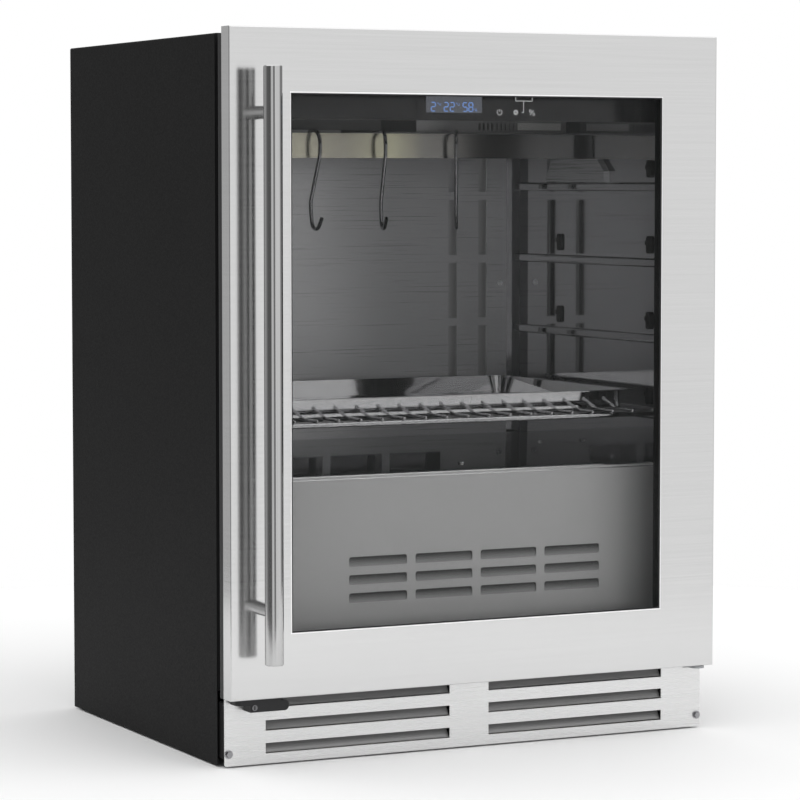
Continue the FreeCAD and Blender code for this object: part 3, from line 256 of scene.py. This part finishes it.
def glowing(name, tint, strength, backing=(0.02, 0.02, 0.02)):
    """A lit or printed mark."""
    made, tree, surface = shader(name)
    surface.inputs["Base Color"].default_value = backing + (1,)
    surface.inputs["Roughness"].default_value = 0.4
    surface.inputs["Emission Strength"].default_value = strength
    flicker = noise(tree, (700, 700, 700), 1.0)
    tree.links.new(ramped(tree, flicker, [(0.3, tuple(c * 0.9 for c in tint) + (1,)), (0.7, tint + (1,))]),
                   surface.inputs["Emission Color"])
    return made


# Height of the lowest row of louvres, from row to row, and of one opening, in millimetres.
LOUVRE_LOW, LOUVRE_PITCH, LOUVRE_TALL = 163, 19.9, 11


def scoop_steel():
    """The louvres' scoops: satin steel with painted shade, lighter at the lip and darker higher up in each
    row, standing in for a deeper pocket.
    """
    made, tree, surface = shader("scoop_steel")
    surface.inputs["Metallic"].default_value = 0.3
    surface.inputs["Roughness"].default_value = 0.55
    place = tree.nodes.new("ShaderNodeTexCoord")
    parts = tree.nodes.new("ShaderNodeSeparateXYZ")
    tree.links.new(place.outputs["Object"], parts.inputs[0])
    rows = tree.nodes.new("ShaderNodeMath")
    rows.operation = "WRAP"
    rows.inputs[1].default_value = LOUVRE_LOW * MM + LOUVRE_PITCH * MM
    rows.inputs[2].default_value = LOUVRE_LOW * MM
    tree.links.new(parts.outputs["Z"], rows.inputs[0])
    up = spread(tree, rows.outputs[0], 0.0, 1.0, LOUVRE_LOW * MM, (LOUVRE_LOW + LOUVRE_TALL) * MM)
    # Painted shade: darker towards the top of each opening, as the inside of a deeper pocket would be.
    painted_shade = ramped(tree, up, [(0.0, 0.40), (0.35, 0.26), (0.8, 0.09), (1.0, 0.05)])
    grain = ramped(tree, noise(tree, GRAINS["level"], 3.0), [(0.3, 0.92), (0.7, 1.0)])
    tree.links.new(blended(tree, "MULTIPLY", 1, painted_shade, grain), surface.inputs["Base Color"])
    return made


# How far to the right of the middle the pod's tones and its painted reflection run, in metres.
POD_SPAN = 0.1


def pod_grey():
    """The ceiling pod: a black end cap, the dark baffle beside it, and to their right a pale painted
    reflection on the moulding that fades towards the right.
    """
    made, tree, surface = shader("pod_grey")
    place = tree.nodes.new("ShaderNodeTexCoord")
    parts = tree.nodes.new("ShaderNodeSeparateXYZ")
    tree.links.new(place.outputs["Object"], parts.inputs[0])
    along = spread(tree, parts.outputs["X"], 0.0, 1.0, 0.0, POD_SPAN)
    texture = noise(tree, (700, 700, 700), 2.0, 0.6)
    mottled = ramped(tree, texture, [(0.3, 0.82), (0.7, 1.0)])
    # Painted reflection: the pale stretch from 0.55 of the span, fading towards the right; left of it are the
    # black end cap and the dark baffle.
    tint = ramped(tree, along, [(0.088, 0.085), (0.09, 0.012), (0.546, 0.012), (0.55, 0.55), (1.0, 0.26)])
    tree.links.new(blended(tree, "MULTIPLY", 1, tint, mottled), surface.inputs["Base Color"])
    surface.inputs["Roughness"].default_value = 0.42
    bumped(tree, surface, texture, 0.3, 0.00005)
    return made


def rail_steel():
    """Polished flat bar with painted reflections in its colour: soft upright bands with a warm tint on the
    left, darker towards the right.
    """
    made, tree, surface = shader("rail_steel")
    surface.inputs["Metallic"].default_value = 1
    place = tree.nodes.new("ShaderNodeTexCoord")
    parts = tree.nodes.new("ShaderNodeSeparateXYZ")
    tree.links.new(place.outputs["Object"], parts.inputs[0])
    along = spread(tree, parts.outputs["X"], 0.0, 1.0, LOW["hanging_rail"].x, HIGH["hanging_rail"].x)
    # Painted reflections: warm upright bands on the left of the bar, darker towards the right.
    painted_reflection = ramped(tree, along, RAIL_PAINTED_REFLECTIONS)
    lines = noise(tree, GRAINS["level"], 3.0)
    fine = ramped(tree, lines, [(0.3, 0.93), (0.7, 1.0)])
    tree.links.new(blended(tree, "MULTIPLY", 1, painted_reflection, fine), surface.inputs["Base Color"])
    tree.links.new(spread(tree, lines, 0.16, 0.24), surface.inputs["Roughness"])
    bumped(tree, surface, lines, 0.05, 0.0001)
    return made


# Along the rail from left to right: where, and the colour of the bar there, with its reflections painted in
# as warm upright bands, darker to the right.
RAIL_PAINTED_REFLECTIONS = [(0.0, (0.62, 0.60, 0.50, 1)), (0.10, (0.70, 0.66, 0.52, 1)), (0.20, (0.52, 0.50, 0.42, 1)),
              (0.30, (0.72, 0.69, 0.56, 1)), (0.40, (0.50, 0.48, 0.41, 1)), (0.52, (0.72, 0.70, 0.52, 1)),
              (0.60, (0.34, 0.33, 0.31, 1)), (1.0, (0.30, 0.30, 0.30, 1))]

MATERIALS = {
    "case_paint": plastic("case_paint", (0.0105, 0.0105, 0.0107), 0.62, 620, 0.00005, 0.10, 0.05),
    "zinc": steel("zinc", (0.42, 0.43, 0.44), 0.42, "none", 0.10, bump=0.05, smudge=0.2),
    "door_steel": steel("door_steel", (0.65, 0.65, 0.65), 0.14, "level", 0.03, 0.6, 0.02, 0.02),
    "plinth_steel": steel("plinth_steel", (0.74, 0.74, 0.74), 0.28, "level", 0.04, 0.6, 0.05, 0.03),
    "handle_steel": steel("handle_steel", (0.52, 0.52, 0.52), 0.10, "upright", 0.06, 0.0, 0.03, 0.03),
    "post_steel": steel("post_steel", (0.56, 0.56, 0.56), 0.18, "deep", 0.05, 0.0, 0.05, 0.03),
    "liner": steel("liner", (0.47, 0.47, 0.48), 0.065, "upright", 0.03, 0.0, 0.004, 0.10),
    "duct_steel": steel("duct_steel", (0.70, 0.70, 0.71), 0.33, "level", 0.005, 0.0, 0.003, 0.05, 0.7),
    "panel_steel": steel("panel_steel", (0.60, 0.60, 0.60), 0.50, "level", 0.015, 0.0, 0.01, 0.03, 0.25),
    "slot_back": steel("slot_back", (0.62, 0.62, 0.63), 0.45, "upright", 0.04, 0.0, 0.03, 0.06, 0.3),
    "blade_steel": steel("blade_steel", (0.20, 0.20, 0.20), 0.45, "level", 0.10, 0.0, 0.05, 0.06, 0.5),
    "scoop_steel": scoop_steel(),
    "pod_grey": pod_grey(),
    "dark_steel": steel("dark_steel", (0.16, 0.16, 0.165), 0.18, "none", 0.06, 0.0, 0.02, 0.08),
    "mirror_steel": steel("mirror_steel", (0.50, 0.50, 0.51), 0.05, "none", 0.02, 0.0, 0.003, 0.05),
    "tray_steel": steel("tray_steel", (0.72, 0.72, 0.73), 0.06, "none", 0.02, 0.0, 0.003, 0.05),
    "wire_chrome": steel("wire_chrome", (0.66, 0.66, 0.67), 0.10, "none", 0.05, 0.0, 0.02, 0.08),
    "hook_chrome": steel("hook_chrome", (0.34, 0.34, 0.35), 0.07, "none", 0.05, 0.0, 0.01, 0.08),
    "bracket_steel": steel("bracket_steel", (0.66, 0.66, 0.67), 0.30, "level", 0.04, 0.0, 0.03, 0.06, 0.6),
    "bright_edge": steel("bright_edge", (0.90, 0.90, 0.90), 0.22, "none", 0.02, 0.0, 0.01, 0.02),
    "rail_steel": rail_steel(),
    "black_plastic": plastic("black_plastic", (0.014, 0.014, 0.015), 0.48),
    "gloss_black": plastic("gloss_black", (0.010, 0.010, 0.011), 0.12, 300, 0.00001, 0.4, 0.1, 0.3),
    "rubber": plastic("rubber", (0.018, 0.018, 0.019), 0.68, 1400, 0.00008, 0.25),
    "glass": tinted_glass(),
    "spacer": plastic("spacer", (0.006, 0.006, 0.006), 0.5, 700, 0.00003, 0.2),
    "display": glowing("display", (0.105, 0.112, 0.130), 1.0, (0.05, 0.05, 0.055)),
    "lens": plastic("lens", (0.62, 0.62, 0.60), 0.35, 500, 0.00003, 0.5, 0.05),
    "foam": plastic("foam", (0.72, 0.66, 0.46), 0.95, 350, 0.0006, 0.1, 0.08),
    "fins": steel("fins", (0.62, 0.63, 0.64), 0.32, "upright", 0.12, 0.0, 0.2, 0.1),
    "enamel": plastic("enamel", (0.012, 0.012, 0.013), 0.30, 260, 0.00006, 0.5, 0.1, 0.2),
    "copper": steel("copper", (0.72, 0.36, 0.22), 0.30, "none", 0.14, 0.0, 0.06, 0.3),
    "board": plastic("board", (0.02, 0.12, 0.05), 0.35, 240, 0.00004, 0.5, 0.3),
    "foot_plastic": plastic("foot_plastic", (0.02, 0.02, 0.021), 0.5),
}
NODE_LOOKS = {
    "outer_wrapper": "case_paint", "rear_panel": "case_paint", "service_cover": "case_paint",
    "base_pan": "case_paint", "foam_insulation": "foam", "front_trim_frame": "black_plastic",
    "inner_liner": "liner", "shelf_clips": "black_plastic", "panel_screws": "wire_chrome",
    "rear_duct_cover": "duct_steel", "louvred_panel": "panel_steel", "step_top_plate": "mirror_steel",
    "rail_brackets": "bracket_steel", "hanging_rail": "rail_steel", "hook_left": "hook_chrome",
    "hook_middle": "hook_chrome", "hook_right": "hook_chrome", "wire_shelf": "wire_chrome",
    "drip_tray": "tray_steel", "control_fascia": "gloss_black", "touch_panel": "gloss_black",
    "display_window": "display", "control_board": "board", "ceiling_pod": "pod_grey",
    "lamp_lens": "lens", "climate_sensor": "black_plastic", "circulation_fan_frame": "black_plastic",
    "circulation_fan_rotor": "black_plastic", "evaporator_coil": "fins",
    "condenser_fan_frame": "black_plastic", "condenser_fan_rotor": "black_plastic",
    "condenser_coil": "fins", "compressor": "enamel", "compressor_mounts": "rubber",
    "condensate_pan": "black_plastic", "refrigerant_pipes": "copper", "filter_drier": "copper",
    "power_box": "black_plastic", "mains_inlet": "black_plastic", "plinth_grille": "plinth_steel",
    "plinth_screws": "hook_chrome", "levelling_foot_front_left": "foot_plastic",
    "levelling_foot_front_right": "foot_plastic", "levelling_foot_rear_left": "foot_plastic",
    "levelling_foot_rear_right": "foot_plastic", "hinge_bracket_upper": "zinc",
    "hinge_bracket_lower": "zinc", "hinge_pins": "zinc", "hinge_bushes": "black_plastic",
    "door_outer_frame": "door_steel", "door_inner_frame": "black_plastic", "glass_outer": "glass",
    "glazing_spacer": "spacer", "glass_inner": "glass", "door_gasket": "rubber",
    "handle_bar": "handle_steel", "handle_posts": "post_steel", "lock_housing": "black_plastic",
    "lock_cylinder": "dark_steel", "lock_bolt": "zinc",
}
for node_name, look in NODE_LOOKS.items():
    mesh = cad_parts[node_name].data
    mesh.materials.clear()
    mesh.materials.append(MATERIALS[look])


# ---- Mesh building ----
class Pieces:
    """Collects faces of one new piece."""

    def __init__(self):
        self.points, self.faces = [], []

    def add(self, points, faces):
        """Adds a closed patch of faces over its own points."""
        start = len(self.points)
        self.points += [tuple(point) for point in points]
        self.faces += [tuple(start + corner for corner in face) for face in faces]

    def rings(self, rings, closed=False, caps=True):
        """Skins a list of rings that have the same number of points."""
        count = len(rings[0])
        faces = []
        pairs = len(rings) if closed else len(rings) - 1
        for ring in range(pairs):
            after = (ring + 1) % len(rings)
            for corner in range(count):
                following = (corner + 1) % count
                faces.append((ring * count + corner, ring * count + following,
                              after * count + following, after * count + corner))
        if caps and not closed:
            faces.append(tuple(reversed(range(count))))
            faces.append(tuple(range((len(rings) - 1) * count, len(rings) * count)))
        self.add([point for ring in rings for point in ring], faces)

    def plate(self, outline, origin, across, up, out, thick, bevel):
        """A plate with a bevelled front: outline in (across, up), from origin along out by thick."""
        middle = [sum(p[axis] for p in outline) / len(outline) for axis in (0, 1)]
        size = max(max(abs(p[axis] - middle[axis]) for p in outline) for axis in (0, 1))
        shrink = 1 - bevel / size

        def ring(scale, height):
            return [origin + across * (middle[0] + (p[0] - middle[0]) * scale)
                    + up * (middle[1] + (p[1] - middle[1]) * scale) + out * height for p in outline]

        self.rings([ring(1, 0), ring(1, thick - bevel), ring(shrink, thick)])

    def lathe(self, profile, origin, axis, sides=24):
        """A turned form: profile of (radius, distance along axis)."""
        along = axis.normalized()
        side = along.orthogonal().normalized()
        other = along.cross(side)
        rings = []
        for radius, distance in profile:
            rings.append([origin + along * distance + (side * math.cos(a) + other * math.sin(a)) * radius
                          for a in (2 * math.pi * n / sides for n in range(sides))])
        self.rings(rings)

    def tube(self, path, radius, sides=8, closed=False):
        """A round wire along a path of points."""
        rings = []
        count = len(path)
        for number, point in enumerate(path):
            before = path[(number - 1) % count] if closed or number else point
            after = path[(number + 1) % count] if closed or number < count - 1 else point
            along = (after - before).normalized()
            side = along.cross(Vector((0.31, 0.27, 0.91))).normalized()
            other = along.cross(side)
            rings.append([point + (side * math.cos(a) + other * math.sin(a)) * radius
                          for a in (2 * math.pi * n / sides for n in range(sides))])
        self.rings(rings, closed)

    def frame_sweep(self, x_range, z_range, profile):
        """A profile of (inward, y) swept round an upright rectangle, mitred at its corners."""
        corners = [(x_range[0], z_range[0], 1, 1), (x_range[1], z_range[0], -1, 1),
                   (x_range[1], z_range[1], -1, -1), (x_range[0], z_range[1], 1, -1)]
        rings = [[(x + sx * inward, y, z + sz * inward) for inward, y in profile] for x, z, sx, sz in corners]
        self.rings(rings, closed=True)

    def finish(self, name, look, body, smooth=True):
        """Makes the object, with smooth shading broken at sharp edges, riding on a body."""
        mesh = bpy.data.meshes.new(name)
        mesh.from_pydata(self.points, [], self.faces)
        mesh.validate()
        mesh.update()
        piece = bpy.data.objects.new(name, mesh)
        scene.collection.objects.link(piece)
        mesh.materials.append(MATERIALS[look])
        if smooth:
            mesh.shade_smooth()
            mesh.set_sharp_from_angle(angle=math.radians(38))
        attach(piece, body)
        return piece


X, Y, Z = Vector((1, 0, 0)), Vector((0, 1, 0)), Vector((0, 0, 1))
SHELF_WIRES, SHELF_PITCH = 20, 26.35
MATERIALS["blue_light"] = glowing("blue_light", (0.16, 0.30, 0.62), 1.0, (0.15, 0.3, 0.8))
MATERIALS["printed_white"] = glowing("printed_white", (0.42, 0.42, 0.42), 1.0, (0.75, 0.75, 0.75))

DOOR_FACE = LOW["door_outer_frame"].y


def place(x, behind, z):
    """A point from millimetres: across, behind the door's face, and up."""
    return Vector((x * MM, DOOR_FACE + behind * MM, z * MM))


def behind_door(name):
    """How far a node's front lies behind the door's face, in millimetres."""
    return (LOW[name].y - DOOR_FACE) / MM


def from_face(profile):
    """A frame's profile from millimetres: inward, and behind the door's face."""
    return [(inward * MM, DOOR_FACE + deep * MM) for inward, deep in profile]


# ---- Window: the steel's folded edge round the glass, polished where it turns ----
HOLE_X, HOLE_Z = (-227.5 * MM, 227.5 * MM), (143.5 * MM, 717 * MM)
EDGE_PROFILE = [(-0.5, 0.02), (-0.35, -0.16), (0.0, -0.26), (0.45, -0.22),
                (0.8, 0.0), (0.9, 0.5), (0.9, 1.15), (-0.5, 1.15)]
SEAL_PROFILE = [(0.9, 0.7), (2.1, 0.8), (2.4, 1.15), (0.9, 1.15)]
window_edge = Pieces()
window_edge.frame_sweep(HOLE_X, HOLE_Z, from_face(EDGE_PROFILE))
window_edge.finish("window_edge", "bright_edge", "door")
glass_seal = Pieces()
glass_seal.frame_sweep(HOLE_X, HOLE_Z, from_face(SEAL_PROFILE))
glass_seal.finish("glass_seal", "rubber", "door")


# ---- Chamber: pocket behind each duct slot, scoops of the louvres, folded top of the panel ----
# Middle and lower end of each slot in the duct cover, and the sections behind and beside it, in millimetres.
DUCT_LOW, DUCT_PITCH = 379.7, 77.1
DUCT_COLUMNS = (-216, -174.6, 174.6, 216)
DUCT_SLOTS = [(middle, DUCT_LOW + DUCT_PITCH * row) for middle in DUCT_COLUMNS for row in range(4)]
SLOT_BACK = [(-3.4, 9.0), (-2.2, 9.0), (1.0, 7.6), (3.4, 4.6), (5.0, 1.1),
             (6.5, 1.1), (5.6, 3.4), (4.2, 6.4), (1.4, 9.4), (-3.4, 10.2)]
SLOT_LIP = [(4.9, 0.6), (4.9, -0.5), (5.3, -0.8), (5.9, -0.5), (6.2, 0.0)]
duct_back = behind_door("rear_duct_cover")
slot_backs = Pieces()
for middle, low in DUCT_SLOTS:
    slot_backs.rings([[place(middle + across, duct_back + deep, height) for across, deep in SLOT_BACK]
                      for height in (low - 2, low + 69.3)])
slot_backs.finish("duct_slot_backs", "slot_back", "case")
slot_lips = Pieces()
for middle, low in DUCT_SLOTS:
    slot_lips.rings([[place(middle + across, duct_back + deep, height) for across, deep in SLOT_LIP]
                     for height in (low, low + 67.3)])
slot_lips.finish("duct_slot_lips", "bright_edge", "case")

# Left end of the first column of louvres, from column to column, and a scoop's section, in millimetres.
LOUVRE_LEFT, LOUVRE_STEP = -130.3, 81.1
SCOOP = [(0, -1.2), (0.1, 0.4), (1.0, 2.6), (2.2, 5.6), (2.7, 8.8), (2.8, 12.2),
         (3.1, 12.2), (3.0, 8.6), (2.6, 5.0), (1.4, 2.0), (0.5, -1.2)]
panel_face = behind_door("louvred_panel")
scoops = Pieces()
for row in range(3):
    for column in range(4):
        left, low = LOUVRE_LEFT + LOUVRE_STEP * column, LOUVRE_LOW + LOUVRE_PITCH * row
        rings = []
        for inset, x in ((0, left - 0.8), (0, left + 62), (1, left + 71.6)):
            deep = 1 - 0.75 * inset
            rings.append([place(x, panel_face + 1.02 + back * deep, low + up) for back, up in SCOOP])
        scoops.rings(rings)
scoops.finish("louvre_scoops", "scoop_steel", "case")

panel_lip = Pieces()
panel_top = HIGH["louvred_panel"].z / MM
panel_half = HIGH["louvred_panel"].x / MM
for drop in (0.2, 3.4):
    panel_lip.tube([place(-panel_half + 1, panel_face - 0.1, panel_top - drop),
                    place(panel_half - 1, panel_face - 0.1, panel_top - drop)], 0.55 * MM, 8)
panel_lip.finish("louvred_panel_lip", "bright_edge", "case")


# ---- Shelf: rounded ends on its wires ----
WIRE_END = [(0.02, -2.2), (1.1, -1.9), (1.9, -1.2), (2.25, 0), (2.1, 0.9), (1.75, 1.6), (1.75, 3.0)]
shelf_front = behind_door("wire_shelf")
wire_z = HIGH["wire_shelf"].z / MM - 1.8
wire_ends = Pieces()
for number in range(SHELF_WIRES):
    x = (number - (SHELF_WIRES - 1) / 2) * SHELF_PITCH
    wire_ends.lathe([(radius * MM, along * MM) for radius, along in WIRE_END],
                    place(x, shelf_front + 1.4, wire_z), Y, 16)
wire_ends.finish("shelf_wire_ends", "wire_chrome", "shelf")


# ---- Plinth: the sloping blade behind each slot ----
# Height of the lowest blade, from row to row, the two spans across, and a blade's section, in millimetres.
BLADE_LOW, BLADE_PITCH = 12.6, 24.6
BLADE_SPANS = ((-247.2, -26.2), (22.1, 243.6))
BLADE = [(1.25, -0.9), (2.0, 1.0), (4.6, 4.6), (7.6, 9.0), (9.4, 13.2),
         (10.2, 13.2), (8.4, 8.6), (5.2, 3.8), (2.6, -0.9)]
plinth_face = behind_door("plinth_grille")
blades = Pieces()
for row in range(3):
    for span in BLADE_SPANS:
        low = BLADE_LOW + BLADE_PITCH * row
        blades.rings([[place(x, plinth_face + back, low + up) for back, up in BLADE] for x in span])
blades.finish("plinth_blades", "blade_steel", "case")


# ---- Display and touch marks ----
SEGMENTS = {"2": "abged", "5": "afgcd", "8": "abcdefg"}


def segment_outline(start, end, width):
    """A lit bar with pointed ends between two points of the digit's grid."""
    (x0, z0), (x1, z1) = start, end
    long = math.hypot(x1 - x0, z1 - z0)
    ux, uz = (x1 - x0) / long, (z1 - z0) / long
    px, pz = -uz, ux
    half, gap = width / 2, width * 0.18
    steps = [(gap, 0), (gap + half, -half), (long - gap - half, -half), (long - gap, 0),
             (long - gap - half, half), (gap + half, half)]
    return [(x0 + ux * along + px * side, z0 + uz * along + pz * side) for along, side in steps]


def add_digit(pieces, digit, left, low, wide, tall, width, face):
    """One seven-segment digit, flat on the display."""
    right, middle, top = left + wide, low + tall / 2, low + tall
    spans = {"a": ((left, top), (right, top)), "b": ((right, middle), (right, top)),
             "c": ((right, low), (right, middle)), "d": ((left, low), (right, low)),
             "e": ((left, low), (left, middle)), "f": ((left, middle), (left, top)),
             "g": ((left, middle), (right, middle))}
    for letter in SEGMENTS[digit]:
        outline = segment_outline(*spans[letter], width)
        pieces.plate(outline, Vector((0, face, 0)), X, Z, -Y, 0.12 * MM, 0.04 * MM)


def ring_path(x, z, radius, y, start=0.0, end=360.0, steps=28):
    """Points of an arc in the display's plane, in degrees from straight up, clockwise."""
    closed = end - start >= 360
    count = steps if closed else steps + 1
    turns = [math.radians(start + (end - start) * n / steps) for n in range(count)]
    return [Vector((x + radius * math.sin(a), y, z + radius * math.cos(a))) for a in turns]


display_left, display_low = LOW["display_window"].x, LOW["display_window"].z
display_face = LOW["display_window"].y - 0.02 * MM
digits = Pieces()
digit_low, digit_tall, digit_wide, stroke = display_low + 1.75 * MM, 9.4 * MM, 5.0 * MM, 1.15 * MM
for digit, offset in (("2", 6.35), ("2", 22.15), ("2", 29.55), ("5", 45.45), ("8", 52.55)):
    add_digit(digits, digit, display_left + offset * MM, digit_low,
              digit_wide, digit_tall, stroke, display_face)
for offset in (14.6, 37.6):
    # A small degree ring and the C beside it.
    ring_x, mark_z = display_left + offset * MM, digit_low + 7.6 * MM
    digits.tube(ring_path(ring_x, mark_z + 1.0 * MM, 0.55 * MM, display_face), 0.16 * MM, 6, True)
    digits.tube(ring_path(ring_x + 2.4 * MM, mark_z, 1.15 * MM, display_face, 50, 310, 16), 0.2 * MM, 6)
percent_x, percent_z = display_left + 61.2 * MM, digit_low + 1.6 * MM
digits.tube([Vector((percent_x - 1.1 * MM, display_face, percent_z - 1.6 * MM)),
             Vector((percent_x + 1.1 * MM, display_face, percent_z + 1.6 * MM))], 0.2 * MM, 6)
for side in (-1, 1):
    digits.tube(ring_path(percent_x + side * 1.1 * MM, percent_z - side * 0.9 * MM, 0.5 * MM, display_face),
                0.16 * MM, 6, True)
digits.finish("display_digits", "blue_light", "case")

touch_face = LOW["touch_panel"].y - 0.02 * MM
icons = Pieces()
power_x, fan_x, percent_icon_x, icon_z = 48.5 * MM, 68.7 * MM, 89.0 * MM, 699.5 * MM
icons.tube(ring_path(power_x, icon_z, 3.0 * MM, touch_face, 35, 325), 0.42 * MM, 6)
icons.tube([Vector((power_x, touch_face, icon_z + 0.4 * MM)),
            Vector((power_x, touch_face, icon_z + 3.4 * MM))], 0.42 * MM, 6)
icons.tube(ring_path(fan_x, icon_z, 1.9 * MM, touch_face), 0.42 * MM, 6, True)
for tooth in range(8):
    angle = math.radians(tooth * 45 + 12)
    radial = Vector((math.sin(angle), 0, math.cos(angle)))
    centre = Vector((fan_x, touch_face, icon_z))
    icons.tube([centre + radial * 1.9 * MM, centre + radial * 3.1 * MM], 0.45 * MM, 6)
    icons.tube([centre + radial * 0.5 * MM, centre + radial * 1.6 * MM], 0.2 * MM, 6)
icons.tube([Vector((percent_icon_x - 2.4 * MM, touch_face, icon_z - 2.8 * MM)),
            Vector((percent_icon_x + 2.4 * MM, touch_face, icon_z + 2.8 * MM))], 0.42 * MM, 6)
icons.tube(ring_path(percent_icon_x - 2.0 * MM, icon_z + 1.7 * MM, 1.3 * MM, touch_face), 0.38 * MM, 6, True)
icons.tube(ring_path(percent_icon_x + 2.4 * MM, icon_z - 1.9 * MM, 1.2 * MM, touch_face), 0.38 * MM, 6, True)
bracket_z, bracket_top, stem_x = 712.1 * MM, 716.2 * MM, 78.6 * MM
bracket_left, bracket_right = 68.7 * MM, 89.4 * MM
for path in ([(bracket_left, bracket_top), (bracket_left, bracket_z),
              (bracket_right, bracket_z), (bracket_right, bracket_top)],
             [(stem_x, bracket_z), (stem_x, icon_z), (stem_x - 2.6 * MM, icon_z)]):
    for (x0, z0), (x1, z1) in zip(path, path[1:]):
        icons.tube([Vector((x0, touch_face, z0)), Vector((x1, touch_face, z1))], 0.42 * MM, 6)
icons.finish("touch_icons", "printed_white", "case")

# ---- Rear: screws round the panels, pressed stiffening beads, blank rating plate ----
rear_face = HIGH["service_cover"].y
rear_screws = Pieces()
rear_spots = [(x, z) for x in (-286, -95, 95, 286) for z in (20, 228, 246, 769)]
rear_spots += [(x, 510) for x in (-286, 286)]
screw_head = [(0.02, 2.0), (1.2, 1.9), (2.6, 1.3), (3.6, 0.5), (3.8, 0.0), (3.8, -0.4)]
for x, z in rear_spots:
    spot = Vector((x * MM, rear_face, z * MM))
    rear_screws.lathe([(radius * MM, along * MM) for radius, along in reversed(screw_head)], spot, Y, 20)
rear_screws.finish("rear_screws", "zinc", "case")
beads = Pieces()
# Height and share of the full section, from the bead's lower end to its upper one.
bead_ends = ((300, 0.05), (312, 0.8), (322, 1), (694, 1), (704, 0.8), (716, 0.05))
bead = [(-9, 0.0), (-6, 0.7), (-2.5, 1.5), (2.5, 1.5), (6, 0.7), (9, 0.0), (0, -0.6)]
for middle in (-170, 0, 170):
    beads.rings([[Vector(((middle + across * scale) * MM, rear_face + out * scale * MM, z * MM))
                  for across, out in bead] for z, scale in bead_ends])
beads.finish("rear_beads", "case_paint", "case")
label = Pieces()
label.plate([(0, 0), (90, 0), (90, 46), (0, 46)], Vector((0, 0, 0)), X, Z, Y, 0.3, 0.1)
label.points = [(point[0] * MM + 0.19, rear_face + 0.0001 + point[1] * MM, point[2] * MM + 0.18)
                for point in label.points]
label.finish("blank_plate", "zinc", "case", smooth=False)


# ---- A low fill light in front, which only matt surfaces pick up ----
fill_data = bpy.data.lights.new("fill", "AREA")
fill_data.shape, fill_data.size, fill_data.size_y, fill_data.energy = "RECTANGLE", 1.6, 0.5, 17
fill = bpy.data.objects.new("fill", fill_data)
fill.location = (0.25, DOOR_FACE - 2.2, 0.30)
fill.rotation_euler = (math.radians(90), 0, 0)
fill.visible_glossy = False
fill.visible_camera = False
scene.collection.objects.link(fill)


# ---- Floor ----
floor = Pieces()
floor.lathe([(1.35, -0.002), (1.35, 0)], Vector((0, 0, 0)), Z, 96)
floor_mesh = bpy.data.meshes.new("floor")
floor_mesh.from_pydata(floor.points, [], floor.faces)
floor_piece = bpy.data.objects.new("floor", floor_mesh)
scene.collection.objects.link(floor_piece)
floor_look, _, floor_surface = shader("floor")
floor_surface.inputs["Base Color"].default_value = grey(0.92)
floor_surface.inputs["Roughness"].default_value = 0.9
floor_surface.inputs["Specular IOR Level"].default_value = 0.1
floor_mesh.materials.append(floor_look)
